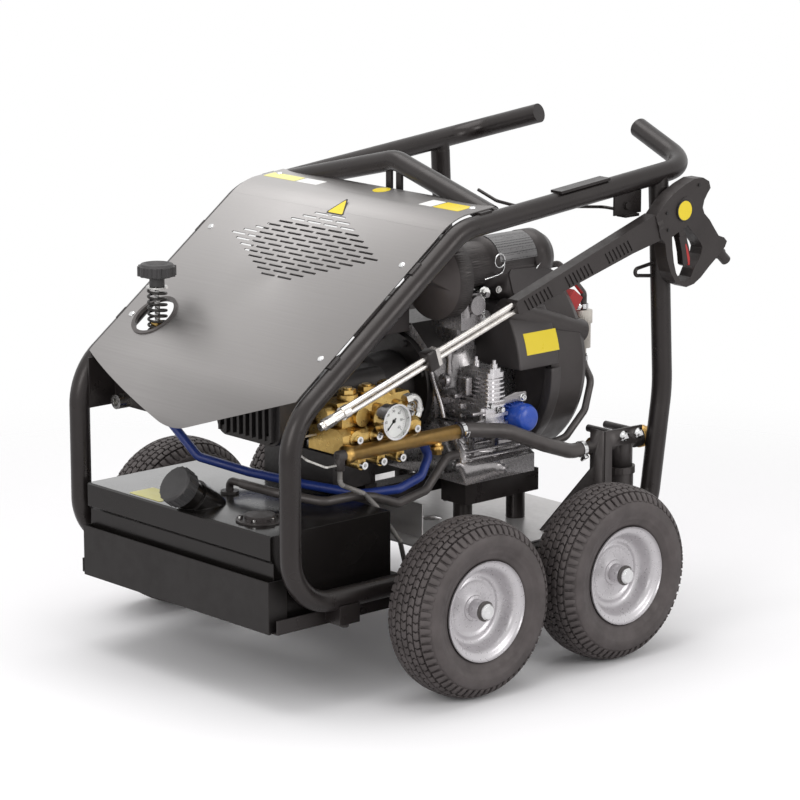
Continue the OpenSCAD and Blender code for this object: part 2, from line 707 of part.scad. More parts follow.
module regulator_body() {
  color(brass) {
    box(reg.x - 24, reg.x + 24, reg.y - 26, reg.y + 26, reg.z - 110, reg.z - 14);
    difference() {
      union() {
        disc_z(reg.x, reg.y, reg.z - 14, spring_d + 4, 14);
        disc_z(reg.x, reg.y, reg.z - lap_d, spring_d - 2 * wire_d - 3, 22 + lap_d);
      }
      disc_z(reg.x, reg.y, reg.z + 2 - stem_travel, 10 + 2 * fit, 22 + stem_travel);
    }
    disc_y(reg.x, reg.y - 60, reg.z - 64, 26, 40);
    disc_x(reg.x - 34, reg.y, reg.z - 96, 24, 18);
  }
}

// the spring, one open coil between its seat and the washer
spring_n = 12;
function coil_ring(i) = let (a = 360 * i / spring_n, h = wire_d / 2 + (spring_z1 - spring_z0 - wire_d)
  * i / (spring_n * spring_turns),
  r = (spring_d - wire_d) / 2) [for (k = [0:7]) [ (r + wire_d / 2 * cos(45 * k)) * cos(a),
    (r + wire_d / 2 * cos(45 * k)) * sin(a), h + wire_d / 2 * sin(45 * k)]];
module regulator_spring() {
  m = spring_n * spring_turns;
  rings = [for (i = [0:m]) each coil_ring(i)];
  faces = concat([[for (k = [0:7]) k]], [for (i = [0:m - 1],
    k = [0:7]) let (a = 8 * i + k, b = 8 * i + (k + 1) % 8)
    [a, a + 8, b + 8, b]], [[for (k = [7:-1:0]) 8 * m + k]]);
  color(dark) translate([reg.x, reg.y, spring_z0]) polyhedron(rings, faces);
}

module regulator_stem() {
  color(steel) {
    disc_z(reg.x, reg.y, spring_z1, spring_d + 2, 3);
    disc_z(reg.x, reg.y, reg.z + 4, 10, spring_z1 - reg.z + 16);
  }
}

module regulator_knob() {
  color(dark) translate([reg.x, reg.y, 0]) difference() {
    union() {
      translate([0, 0, spring_z1 + 3 + play]) cylinder(d = 28, h = knob_z - spring_z1);
      translate([0, 0, knob_z]) rotate_extrude() polygon([[0, 0], [knob_d / 2 - 12, 0],
        [knob_d / 2 - 3, 3], [knob_d / 2 - 3, 20],
        [knob_d / 2 - 7, 25], [knob_d / 2 - 12, 26], [14, 21], [0, 21]]);
      for (a = [0:30:330]) rotate([0, 0, a]) translate([knob_d / 2 - 5, 0, knob_z + 3])
        cylinder(d = 10, h = 18);
    }
    translate([0, 0, spring_z1 + 2]) cylinder(d = 10 + 2 * fit, h = 20);
  }
}

module outlet_bracket() {
  color(black) difference() {
    union() {
      box(tube_r - side_x + 2, reg.x + 53, reg.y - 34, reg.y - 30, reg.z - 140, reg.z - 20);
      box(tube_r - side_x + lap_d / 2, tube_r - side_x + 4, front_y + 6, reg.y - 30, reg.z - 140,
        reg.z - 46);
    }
    disc_y(reg.x, reg.y - 60, reg.z - 64, 26 + 2 * fit, 60);
    disc_y(outlet.x, reg.y - 60, outlet.z, 22 + 2 * fit, 60);
    translate([-side_x, front_y, floor_z]) cylinder(d = tube_d, h = 600);
  }
}

outlet = [-242, reg_y - 50, reg.z - 128];
module outlet_fitting() {
  color(steel) {
    difference() {
      disc_y(outlet.x, reg.y - 34 - 26, outlet.z, 27, 26);
      disc_y(outlet.x, reg.y - 34 - 27, outlet.z, 15, 18);
    }
    disc_y(outlet.x, reg.y - 34, outlet.z, 22, 40);
    translate([outlet.x, reg.y - 30, outlet.z]) rotate([-90, 0, 0]) cylinder(d = 30, h = 10, $fn = 6);
  }
}

// ---- engine ----

crank_z = floor_z + crank_rise;
block_y = [-3, 205];
stand_z = floor_z + 118;                   // top of the engine stand

module coupling_housing() {
  color(dark) {
    disc_y(10, pump_y[1], pump_z + 12, 150, 22);
    disc_y(10, pump_y[1] + 22, pump_z + 14, 130, block_y[0] - pump_y[1] - 36);
    disc_y(10, block_y[0] - 14, pump_z + 16, 200, 14);
    for (a = [20:45:335]) translate([10 + 90 * cos(a), block_y[0] - 20, pump_z + 16 + 90 * sin(a)])
      rotate([-90, 0, 0]) cylinder(d = 12, h = 8);
  }
}

// outline of the crankcase in X and Z
case_shape = [[-120, stand_z + 40], [120, stand_z + 40], [112, crank_z - 20], [104, crank_z + 60],
  [50, crank_z + 108], [-50, crank_z + 108], [-104, crank_z + 60], [-112, crank_z - 20]];
sump_shape = [[-200, stand_z], [200, stand_z], [200, stand_z + 34], [188, stand_z + 40],
  [176, stand_z + 84],
  [150, stand_z + 110], [-150, stand_z + 110], [-176, stand_z + 84], [-188, stand_z + 40],
    [-200, stand_z + 34]];
module crankcase() {
  along_y(block_y[0], 175) polygon(sump_shape);
  along_y(block_y[0], block_y[1] - block_y[0]) polygon(case_shape);
}
module engine_block() {
  color(alu) {
    crankcase();
    for (z = [44, 56, 68, 80]) box(100, 198 - (z - 44) * 0.5, block_y[0] + 12, block_y[0] + 163,
      stand_z + z, stand_z + z + 4);
    for (y = [block_y[0] + 18, block_y[0] + 80, block_y[0] + 142])
      box(100, 190, y, y + 12, stand_z + 30, stand_z + 84);
    hex_x(204, 81, stand_z + 20, 20, 12);
    disc_x(196, 81, stand_z + 20, 28, 8);
    disc_y(176, block_y[0] - 6, stand_z + 34, 16, 10);
  }
}

// a finned cylinder with its head and two studs
fin_z0 = floor_z + 262;
fin_top = fin_z0 + fin_n * fin_pitch;
module cylinder_bank(y) {
  translate([174, y, 0]) {
    translate([0, 0, fin_z0 - 4]) linear_extrude(fin_top - fin_z0 + 4) round_rect(78, 34, 12);
    for (i = [0:fin_n - 1]) translate([0, 0, fin_z0 + i * fin_pitch]) linear_extrude(3)
      round_rect(98 - i, 52 - i, 20);
    translate([2, -1, fin_top - 3]) linear_extrude(9) round_rect(84, 42, 12);
    translate([12, -4, fin_top + 5]) linear_extrude(9) round_rect(64, 28, 8);
    for (x = [-12, 36]) {
      translate([x, -4, fin_top + 13]) cylinder(d = 13, h = 9);
      translate([x, -4, fin_top + 21]) cylinder(d = 7, h = 8);
    }
    box(-60, 34, -22, 24, floor_z + 216, fin_z0);
    for (i = [0:1]) box(-54, 40, -28, 28, floor_z + 222 + i * 18, floor_z + 228 + i * 18);
    for (x = [-30, 26]) disc_z(x, -24, floor_z + 222, 12, 36);
  }
}
module engine_cylinders() {
  color(alu) difference() {
    union() {
      cylinder_bank(61);
      mirror([1, 0, 0]) cylinder_bank(110);
    }
    crankcase();
  }
}

blower_z = crank_z + 14;
blower_x = 22;
blower_y = [205, 296];
module blower_housing() {
  color(black) {
    difference() {
      union() {
        translate([blower_x, blower_y[1], blower_z]) rotate([90, 0, 0]) rotate_extrude() polygon([[0, 0],
          [blower_d / 2 - 18, 0], [blower_d / 2 - 5, 4], [blower_d / 2, 16], [blower_d / 2, 78],
          [blower_d / 2 - 8, 91], [0, 91]]);
        disc_y(blower_x, blower_y[1], blower_z, 190, 10);
        // cowls that guide the air over the cylinders
        along_x(60, 128) polygon([[112, crank_z + 46], [206, crank_z + 46], [206, crank_z + 132],
          [150, crank_z + 132], [112, crank_z + 120]]);
        along_x(-190, 120) polygon([[150, crank_z + 46], [206, crank_z + 46], [206, crank_z + 130],
          [150, crank_z + 110]]);
      }
      for (k = [1:4], a = [0:24:336]) translate([blower_x + (20 + k * 15)
        * cos(a + k * 12), blower_y[1] - 4,
        blower_z + (20 + k * 15) * sin(a + k * 12)]) rotate([-90, 0, 0])
          cylinder(d = 5 + k, h = 20, $fn = 16);
      crankcase();
      tail_pipe();
      cleaner_body();
      plug_cap();
    }
  }
}

cleaner = [126, 0, floor_z + 512];
blower_top = crank_z + 132;
// the canister with its end caps
module cleaner_body() {
  disc_y(cleaner.x - 8, -14, cleaner.z - 16, 154, 34);
  disc_y(cleaner.x - 8, -18, cleaner.z - 16, 120, 6);
  disc_y(cleaner.x, 18, cleaner.z, 84, 190);
  disc_y(cleaner.x, 92, cleaner.z, 98, 100);
  translate([cleaner.x, 200, cleaner.z - 2]) rotate([-90, 0, 0]) rotate_extrude()
    polygon([[0, 0], [52, 0], [52, 32], [42, 50], [0, 50]]);
}
module air_cleaner() {
  color(dark) {
    cleaner_body();
    difference() {
      along_x(58, 114) polygon([[128, floor_z + 500], [blower_y[0], floor_z + 502], [blower_y[0],
        blower_top],
        [150, blower_top], [124, floor_z + 462]]);
      tail_pipe();
    }
  }
}

module carburettor() {
  color(alu) difference() {
    union() {
      box(70, 150, 30, 92, crank_z + 104, crank_z + 170);
      box(70, 128, 40, 84, crank_z + 60, crank_z + 106);
      disc_x(120, 60, crank_z + 150, 36, 44);
      disc_x(118, 84, crank_z + 124, 26, 40);
      disc_z(146, 44, crank_z + 128, 22, 36);
      disc_z(96, 60, crank_z + 168, 60, floor_z + 478 - crank_z - 168);
      for (y = [36, 86]) disc_x(150, y, crank_z + 166, 10, 12);
    }
    crankcase();
    cleaner_body();
    along_x(57, 116) polygon([[123, crank_z + 120], [213, crank_z + 120], [213, floor_z + 503],
      [123, floor_z + 503]]);
  }
}

module oil_filter() {
  at = [150, 118, floor_z + 232];
  color(steel) difference() {
    translate(at - [30, 0, 0]) rotate([0, 90, 0]) cylinder(d = filter_d - 14, h = 53);
    engine_block();
    engine_cylinders();
  }
  color("#2f4f9e") translate(at + [21.5, 0, 0]) rotate([0, 90, 0]) rotate_extrude() polygon([[0, 0],
    [filter_d / 2 - 3, 0], [filter_d / 2, 4], [filter_d / 2, 60], [filter_d / 2 - 4, 69],
      [filter_d / 2 - 12, 73],
    [0, 73]]);
}

tail = [[178, 150, crank_z + 124], [186, 304, crank_z + 72]];
module tail_pipe() {
  rod(tail[0], tail[1], 46);
  rod(tail[0] - [0, 40, -14], tail[0] + (tail[1] - tail[0]) * 0.2, 44);
}
// the silencer under the panel and the open end of the tail pipe
silencer = [-82, -116, floor_z + 500];
silencer_d = 158;
silencer_l = 244;
module muffler() {
  color(black) {
    difference() {
      tail_pipe();
      rod(tail[0] + (tail[1] - tail[0]) * 0.7, tail[1] + (tail[1] - tail[0]) * 0.1, 35);
    }
    translate(silencer - [silencer_l / 2, 0, 0]) rotate([0, 90, 0]) rotate_extrude() polygon([[0, 0],
      [silencer_d / 2 - 16, 0], [silencer_d / 2 - 5, 5], [silencer_d / 2, 16],
        [silencer_d / 2, silencer_l - 16],
      [silencer_d / 2 - 5, silencer_l - 5], [silencer_d / 2 - 16, silencer_l], [0, silencer_l]]);
    for (x = [-40, 30]) box(x - 14, x + 14, silencer.y, block_y[0], crank_z + 93, silencer.z - 50);
  }
}

stand_t = 42;
stand_x = [124, 190];
stand_y = [5, 193];
module engine_stand() {
  color(black) for (s = [-1, 1]) mirror([s < 0 ? 1 : 0, 0, 0]) {
    difference() {
      box(stand_x[0], stand_x[1], stand_y[0], stand_y[1], stand_z - stand_t, stand_z);
      box(stand_x[0] + 4, stand_x[1] - 4, stand_y[0] + 4, stand_y[1] - 4, stand_z - stand_t - 1,
        stand_z - 4);
    }
    for (y = [stand_y[0] + 24, stand_y[1] - 28]) disc_z(157, y, base_z + base_t, 36,
      stand_z - 3 - base_z - base_t);
    // rail under the pump
    box(62, 100, tank_y1 + 4, stand_y[1], stand_z - 30, stand_z);
    box(98, stand_x[0] + 2, stand_y[0] + 30, stand_y[1] - 30, stand_z - 30, stand_z - 4);
  }
  color(black) for (y = foot_y) {
    box(-100, 100, y - foot_w, y + foot_w, stand_z - 1, stand_z + 8);
    for (x = [-60, 60]) box(pump_x + x - 16, pump_x + x + 16, y - foot_w, y + foot_w, stand_z + 7,
      pump_z - 74);
  }
}

bottle = [158, 340, floor_z + 324];
module breather_bottle() {
  color("#e8e4da") {
    disc_z(bottle.x, bottle.y, bottle.z, 28, 48);
    disc_z(bottle.x, bottle.y, bottle.z + 48, 34, 24);
    disc_z(bottle.x, bottle.y, bottle.z - 12, 12, 12);
    disc_z(bottle.x, bottle.y, bottle.z + 72, 12, 10);
  }
  color(dark) {
    box(bottle.x - 24, bottle.x - 12, blower_y[1], bottle.y + 8, bottle.z + 10, bottle.z + 34);
    hose([bottle + [0, 0, 82], bottle + [0, 0, 104], bottle + [-4, -20, 128],
      [cleaner.x + 18, 286, cleaner.z - 22],
      [cleaner.x + 18, 250, cleaner.z - 22]], 14, 12);
  }
  color("#b02a2c") plug_cap();
}
module plug_cap() translate([150, 308, floor_z + 417]) rotate([-38, 0, 0]) cube([30, 30, 36],
  center = true);

// ---- water inlet ----

inlet = [256, 342, floor_z + 138];
plate_x = 284;
module water_filter() {
  color(dark) {
    disc_z(inlet.x, inlet.y, inlet.z - 26, 50, 60);
    disc_y(inlet.x, inlet.y - 58, inlet.z + 20, 30, 100);
    disc_y(inlet.x, inlet.y + 36, inlet.z + 20, 38, 30);
    disc_y(inlet.x, inlet.y - 96, inlet.z + 20, 24, 40);
    // L-shaped plate outside the filter head, with its gusset
    along_x(plate_x, 4) polygon([[272, base_z + base_t], [272, inlet.z + 54],
      [inlet.y + 28, inlet.z + 52], [inlet.y + 28, inlet.z + 24],
      [inlet.y + 8, inlet.z + 20], [290, inlet.z + 22], [290, base_z + base_t]]);
    along_x(plate_x - 30, 31) polygon([[272, base_z + base_t], [272, inlet.z + 54],
      [265, inlet.z + 56], [265, base_z + base_t]]);
    along_x(plate_x - 24, 4) polygon([[128, base_z + base_t], [284, inlet.z - 2],
      [284, base_z + base_t]]);
    along_y(280, 4) polygon([[plate_x - 24, base_z + base_t], [plate_x + 1, base_z + base_t],
      [plate_x + 1, inlet.z - 8], [plate_x - 24, inlet.z - 8]]);
    for (y = [300, 346]) disc_x(plate_x - 70, y, inlet.z + 44, 14, 72);
  }
  color(steel) for (y = [inlet.y - 22, inlet.y + 18]) {
    disc_x(plate_x + 3, y, inlet.z + 38, 20, 3);
    hex_x(plate_x + 5, y, inlet.z + 38, 15, 7);
  }
  color(brass) disc_y(inlet.x, inlet.y - 74, inlet.z + 20, 36, 18);
  color(brass) {
    disc_y(inlet.x, inlet.y + 50, inlet.z + 20, 42, 14);
    disc_y(inlet.x, inlet.y + 60, inlet.z + 20, 33, 28);
  }
}
module filter_bowl() {
  color(dark) difference() {
    union() {
      disc_z(inlet.x, inlet.y, inlet.z - 40, 60, 13);
      translate([inlet.x, inlet.y, inlet.z - 84]) rotate_extrude() polygon([[0, 0], [22, 0], [27, 7],
        [27, 48], [0, 48]]);
      for (a = [0:30:330]) translate([inlet.x + 27 * cos(a), inlet.y + 27 * sin(a), inlet.z - 40])
        cylinder(d = 7, h = 12);
    }
    disc_z(inlet.x, inlet.y, inlet.z - 78, 46, 60);
  }
}

// ---- hoses ----

module blue_hose() {
  color("#24408f") pipe([[reg.x - 34, reg.y, reg.z - 96], [reg.x - 60, reg.y, reg.z - 96],
    [reg.x - 60, reg.y + 42, reg.z - 150], [-150, -352, floor_z + 166], [-60, -306, floor_z + 146],
    [60, -268, floor_z + 138], [160, -226, floor_z + 132], [190, -160, floor_z + 136],
    [188, -104, floor_z + 150], [176, -74, floor_z + 184], [140, -84, pump_z - 32], [140, head_y[1],
      pump_z - 32]],
    [0, 14, 22, 26, 26, 26, 26, 26, 22, 22, 20, 0], 17);
}
module suction_hose() {
  color(dark) hose([[rail_x0, rail_y[1], rail_zc], [rail_x0, rail_y[1] + 24, rail_zc],
    [244, 56, rail_zc - 8],
    [256, 144, floor_z + 182], [inlet.x, inlet.y - 130, inlet.z + 20],
      [inlet.x, inlet.y - 96, inlet.z + 20]], 70, rail_d + 1);
}
module bypass_hose() {
  color(dark) hose([[176, block_y[0], floor_z + 172], [176, block_y[0] - 26, floor_z + 172],
    [188, -92, floor_z + 122], [196, -168, floor_z + 112], [194, -226, floor_z + 133],
    [188, -268, tank_top + 16], [180, -330, tank_top + 14], [96, -372, tank_top + 22],
    [elbow_at.x + 60, elbow_at.y, elbow_at.z + 24], [elbow_at.x + 34, elbow_at.y, elbow_at.z + 24]],
      22, 17);
}
module drain_hose() {
  color("#8d8a86") hose([[rail_x0, rail_y[0] - 16, rail_zc - 26], [rail_x0, rail_y[0] - 16, rail_zc - 52],
    [208, -262, tank_top + 24], [206, -228, floor_z + 118], [200, -198, floor_z + 82],
    [212, -177, floor_z + 46], [212, -166, base_z - 14]], 14, 9);
  color("white") pipe([[rail_x0, rail_y[0] - 24.9, rail_zc - 16], [rail_x0, rail_y[0] - 48, rail_zc - 16],
    [196, -382, rail_zc - 2], [150, -384, rail_zc + 14], [130, -372, rail_zc + 22], [130, head_y[0],
      rail_zc + 22]],
    [0, 9, 9, 9, 9, 0], 4);
}
module fuel_hose() {
  color(dark) hose([[bottle.x, bottle.y, bottle.z - 12], [bottle.x, bottle.y, bottle.z - 30],
    [198, 322, floor_z + 269], [200, 304, floor_z + 214], [200, 254, floor_z + 169],
    [196, 206, floor_z + 160], [170, 190, floor_z + 160]], 24, 14);
}

// ---- gun and lance ----

gun_x = side_x + gun_out;
lance_tip = [gun_x, front_y + 34, floor_z + 326];
lance_dir = [0, cos(lance_slope), sin(lance_slope)];
function on_lance(t) = lance_tip + lance_dir * t;
shroud_t0 = 478;
shroud_t1 = 850;
// puts its children along the lance: x out of the frame, y along the lance, z across it
module along_lance(t) translate(on_lance(t)) rotate([lance_slope, 0, 0]) children();

module lance() {
  color(steel) along_lance(0) {
    for (z = [-6, 6]) disc_y(0, 62, z, lance_d, shroud_t0 - 20);
    disc_y(0, 52, 0, 24, 14);
    disc_y(0, 30, 0, 18, 22);
    translate([0, 8, 0]) rotate([-90, 0, 0]) cylinder(d = 20, h = 24, $fn = 6);
    difference() {
      disc_y(0, 0, 0, 14, 10);
      disc_y(0, -1, 0, 5, 9);
    }
  }
  color(dark) along_lance(266) box(-9, 9, 0, 20, -16, 16);
}

module lance_shroud() {
  n = shroud_t1 - shroud_t0;
  color(dark) along_lance(shroud_t0) difference() {
    along_x(-13, 26) polygon([[0, -9], [6, -13], [n * 0.8, -27], [n, -34], [n, 18], [6, 15], [0, 11]]);
    for (g = [22, 128, 234], i = [0:6]) translate([0, g + i * 10, -2]) for (s = [-1, 1])
      translate([s * 13, 0, -(g + i * 10) / 40]) rotate([16, 0, 0]) cube([5, 4, 24], center = true);
    for (z = [-6, 6]) disc_y(0, -1, z, lance_d + 2 * fit, 43);
  }
}

module gun_outline() {
  difference() {
    polygon([[850, -30], [850, 14], [880, 28], [904, 36], [938, 40], [966, 40], [987, 33], [1000, 20],
      [1000, 6], [990, 0], [978, -9],
      [970, -21], [971, -33], [981, -51], [989, -74], [995, -90], [1008, -100], [1013, -110],
        [1005, -118], [976, -129], [954, -136],
      [928, -146], [907, -150], [886, -147], [870, -134], [862, -124], [856, -103], [854, -72],
        [858, -44]]);
    polygon([[878, -40], [897, -38], [909, -38], [923, -36], [930, -51], [939, -69], [946, -83],
      [948, -93], [941, -104], [930, -113],
      [915, -123], [903, -134], [887, -136], [875, -128], [869, -110], [869, -88], [873, -62]]);
  }
}
inlet_tip = [994, -118];
trigger_at = [908, -44];
trigger_pin_d = 4;
module gun_body() {
  color(dark) along_lance(0) {
    along_x(-gun_t / 2, gun_t) gun_outline();
    translate([0, shroud_t1, -6]) rotate([-90, 0, 0]) cylinder(d = 34, h = 14);
    disc_x(gun_t / 2 - 1, 927, -3, 42, 3);
    // ears and pin of the trigger
    for (s = [-1, 1]) translate([s * 9.5 - 2, trigger_at.x - 7, trigger_at.y - 7]) cube([4, 14, 14]);
    disc_x(-10, trigger_at.x, trigger_at.y, trigger_pin_d, 20);
  }
  color(steel) along_lance(0) translate([0, inlet_tip[0], inlet_tip[1]]) rotate([-150, 0, 0]) {
    translate([0, 0, -8]) cylinder(d = 24, h = 26);
    translate([0, 0, 14]) cylinder(d = 20, h = 26);
  }
}

module gun_trigger() {
  color(dark) along_lance(0) along_x(-7, 14) difference() {
    polygon([[902, -47], [904, -40.5], [912, -40.5], [918, -44], [921, -52], [922, -84], [920, -100],
      [914, -109],
      [902, -112], [898, -107], [902, -84], [903, -64]]);
    translate(trigger_at) circle(d = trigger_pin_d + 2 * fit);
  }
}

module gun_brackets() {
  color(black) {
    zb = top_z(306) - tube_r;
    difference() {
      union() {
        box(side_x + 3, side_x + 7, 268, 338, zb - 38, zb + 6);
        box(side_x - 5, side_x + 18, 286, 322, zb - 42, zb - 37);
        disc_x(side_x + 6, 300, zb - 22, 14, 6);
        // strip on the top tube
        translate([side_x - 14, 124, top_z(124) + tube_r - 1]) rotate([top_slope, 0, 0])
          cube([28, 126, 5]);
      }
      rod([side_x, ridge_y, ridge_z], [side_x, handle_y, top_z(handle_y)], tube_d);
    }
    // wire hook under the strip, and the one on the rear post
    pipe([in_side(284, zb - 28) + [3, 0, 0], in_side(284, zb - 28) - [38, 0, 0],
      in_side(62, zb - 2) - [38, 0, 0],
      in_side(34, zb + 8) - [62, 0, 0], in_side(28, zb + 24) - [104, 0, 0]], [0, 10, 12, 12, 0], 6);
    difference() {
      pipe([in_side(post_knee_y - 8, post_knee_z + 243), in_side(283, post_knee_z + 228),
        in_side(post_knee_y - 8, post_knee_z + 213)], [0, 7, 0], 7);
      rod([side_x, post_knee_y, post_knee_z], [side_x, post_top_y, top_z(post_top_y) - tube_r - 3],
        tube_d);
    }
  }
}

side_frame_right();
side_frame_left();
lift_bar();
chassis_rails();
axle_saddles();
base_plate();
axles();
axle_caps();
tyre_front_right();
tyre_front_left();
tyre_rear_right();
tyre_rear_left();
rim_front_right();
rim_front_left();
rim_rear_right();
rim_rear_left();
front_panel();
panel_screws();
panel_grommet();
fuel_tank();
tank_guard();
fuel_cap();
tank_fittings();
pump_crankcase();
pump_head();
valve_caps();
pump_bolts();
inlet_rail();
gauge_case();
gauge_dial();
gauge_needle();
gauge_glass();
regulator_body();
regulator_spring();
regulator_stem();
regulator_knob();
outlet_bracket();
outlet_fitting();
blue_hose();
suction_hose();
bypass_hose();
drain_hose();
fuel_hose();
engine_block();
engine_cylinders();
blower_housing();
air_cleaner();
carburettor();
oil_filter();
muffler();
coupling_housing();
engine_stand();
breather_bottle();
water_filter();
filter_bowl();
gun_body();
gun_trigger();
lance();
lance_shroud();
gun_brackets();
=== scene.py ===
import bmesh
import bpy
import math
from mathutils import Euler, Matrix, Vector


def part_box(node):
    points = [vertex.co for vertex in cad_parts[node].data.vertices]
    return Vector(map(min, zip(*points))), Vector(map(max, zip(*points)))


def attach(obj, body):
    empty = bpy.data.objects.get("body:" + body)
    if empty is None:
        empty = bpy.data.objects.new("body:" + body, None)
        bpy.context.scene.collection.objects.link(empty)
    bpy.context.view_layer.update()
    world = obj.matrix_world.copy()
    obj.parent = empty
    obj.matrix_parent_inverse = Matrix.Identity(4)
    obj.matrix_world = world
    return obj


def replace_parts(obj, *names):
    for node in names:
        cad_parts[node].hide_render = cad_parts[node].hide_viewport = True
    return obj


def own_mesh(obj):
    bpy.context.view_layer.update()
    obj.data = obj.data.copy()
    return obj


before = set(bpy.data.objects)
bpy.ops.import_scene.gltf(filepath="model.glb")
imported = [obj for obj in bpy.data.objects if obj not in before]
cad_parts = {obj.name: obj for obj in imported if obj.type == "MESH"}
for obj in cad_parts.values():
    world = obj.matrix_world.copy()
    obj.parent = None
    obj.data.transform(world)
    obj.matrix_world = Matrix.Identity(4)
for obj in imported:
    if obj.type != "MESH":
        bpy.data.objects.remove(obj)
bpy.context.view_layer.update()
print("frame loaded:", len(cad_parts), "nodes")
scene = bpy.context.scene

studio = {
    "cameraAt": (4.661, -4.177, 1.852),
    "lookAt": (0.490, -0.427, 0.586),
    "lens": 153.9,
    "sensor": 36,
    "worldStrength": 0.62,          # how strongly the background lights the machine
    "background": 1.0,              # how bright the camera sees it
    "floor": (0.80, 0.79, 0.80, 1),
    "floorGain": (0.16, 0.16, 0.16, 1),     # makes the floor paler to the camera only
    "floorReach": 14,
    "fade": (1.0, 2.2),             # the floor melts into the background between these distances
}
lamps = {                           # place, aim, size and power
    "topLamp": ((-0.4, -0.2, 3.2), (0, 0, 0.4), (2.6, 2.6), 52),
    "frontLamp": ((1.2, -3.4, 1.9), (0.1, -0.1, 0.4), (1.6, 1.6), 34),
    "sideLamp": ((3.4, 0.7, 1.5), (0.2, 0.1, 0.4), (1.4, 1.8), 30),
}


def lookFrom(obj, at, target):
    obj.location = at
    obj.rotation_euler = (Vector(target) - Vector(at)).to_track_quat("-Z", "Y").to_euler()


# a new node whose inputs are linked to sockets or set to plain values
def addNode(tree, kind, inputs=None, **settings):
    node = tree.nodes.new(kind)
    for key, value in settings.items():
        setattr(node, key, value)
    for key, value in (inputs or {}).items():
        if isinstance(value, bpy.types.NodeSocket):
            tree.links.new(value, node.inputs[key])
        else:
            node.inputs[key].default_value = value
    return node


def mathNode(tree, how, *values, clamp=False):
    return addNode(tree, "ShaderNodeMath", dict(enumerate(values)), operation=how, use_clamp=clamp).outputs[0]


cameraData = bpy.data.cameras.new("camera")
cameraData.lens = studio["lens"]
cameraData.sensor_width = studio["sensor"]
camera = bpy.data.objects.new("camera", cameraData)
scene.collection.objects.link(camera)
lookFrom(camera, studio["cameraAt"], studio["lookAt"])
scene.camera = camera
scene.view_settings.view_transform = "Standard"

for name, (at, target, size, power) in lamps.items():
    lamp = bpy.data.lights.new(name, "AREA")
    lamp.shape = "RECTANGLE"
    lamp.size, lamp.size_y = size
    lamp.energy = power
    obj = bpy.data.objects.new(name, lamp)
    scene.collection.objects.link(obj)
    lookFrom(obj, at, target)

world = bpy.data.worlds.new("studio")
scene.world = world
world.use_nodes = True
tree = world.node_tree
tree.nodes.clear()
rays = addNode(tree, "ShaderNodeLightPath").outputs
seen = mathNode(tree, "MAXIMUM", rays["Is Camera Ray"], rays["Is Glossy Ray"])
seen = mathNode(tree, "MAXIMUM", seen, rays["Is Transmission Ray"])
level = addNode(tree, "ShaderNodeMapRange", {
    "Value": seen, "To Min": studio["worldStrength"], "To Max": studio["background"]})
sky = addNode(tree, "ShaderNodeBackground", {"Color": (1, 1, 1, 1), "Strength": level.outputs[0]})
addNode(tree, "ShaderNodeOutputWorld", {"Surface": sky.outputs[0]})

reach = studio["floorReach"]
floorMesh = bpy.data.meshes.new("floor")
floorMesh.from_pydata([(-reach, -reach, 0), (reach, -reach, 0), (reach, reach, 0), (-reach, reach, 0)], [],
                      [(0, 1, 2, 3)])
floor = bpy.data.objects.new("floor", floorMesh)
scene.collection.objects.link(floor)
floorPaint = bpy.data.materials.new("floorPaint")
floorPaint.use_nodes = True
tree = floorPaint.node_tree
tree.nodes.clear()
rays = addNode(tree, "ShaderNodeLightPath").outputs
matt = addNode(tree, "ShaderNodeBsdfDiffuse", {"Color": studio["floor"]}).outputs[0]
gain = addNode(tree, "ShaderNodeBsdfDiffuse", {"Color": studio["floorGain"]}).outputs[0]
both = addNode(tree, "ShaderNodeAddShader", {0: matt, 1: gain}).outputs[0]
clear = addNode(tree, "ShaderNodeBsdfTransparent").outputs[0]
spot = addNode(tree, "ShaderNodeTexCoord").outputs["Object"]
far = addNode(tree, "ShaderNodeVectorMath", {0: spot}, operation="LENGTH").outputs["Value"]
fadeFrom, fadeTo = studio["fade"]
fade = addNode(tree, "ShaderNodeMapRange", {"Value": far, "From Min": fadeFrom, "From Max": fadeTo},
               interpolation_type="SMOOTHSTEP")
shown = addNode(tree, "ShaderNodeMixShader", {0: fade.outputs[0], 1: both, 2: clear})
mix = addNode(tree, "ShaderNodeMixShader", {0: rays["Is Camera Ray"], 1: matt, 2: shown.outputs[0]})
addNode(tree, "ShaderNodeOutputMaterial", {"Surface": mix.outputs[0]})
floorMesh.materials.append(floorPaint)
print("studio ready")

# what all finishes share; the gloss of anything but metal is slightly warm
gloss = {"coatRough": 0.1, "tint": (1.0, 0.94, 0.92, 1), "tintBelow": 0.2}


def newFinish(name, colour, metallic=0.0, rough=0.5, specular=0.5):
    mat = bpy.data.materials.new(name)
    mat.use_nodes = True
    shader = mat.node_tree.nodes["Principled BSDF"]
    shader.inputs["Base Color"].default_value = (*colour, 1)
    shader.inputs["Metallic"].default_value = metallic
    shader.inputs["Roughness"].default_value = rough
    shader.inputs["Coat Roughness"].default_value = gloss["coatRough"]
    shader.inputs["Specular IOR Level"].default_value = specular
    if metallic < gloss["tintBelow"]:
        shader.inputs["Specular Tint"].default_value = gloss["tint"]
    return mat, mat.node_tree, shader


def place(tree, stretch=(1, 1, 1)):
    coords = addNode(tree, "ShaderNodeTexCoord")
    return addNode(tree, "ShaderNodeMapping", {
        "Vector": coords.outputs["Object"], "Scale": stretch}).outputs[0]


def noise(tree, scale, detail=3, stretch=(1, 1, 1), rough=0.5):
    return addNode(tree, "ShaderNodeTexNoise", {
        "Vector": place(tree, stretch), "Scale": scale, "Detail": detail, "Roughness": rough}).outputs["Fac"]


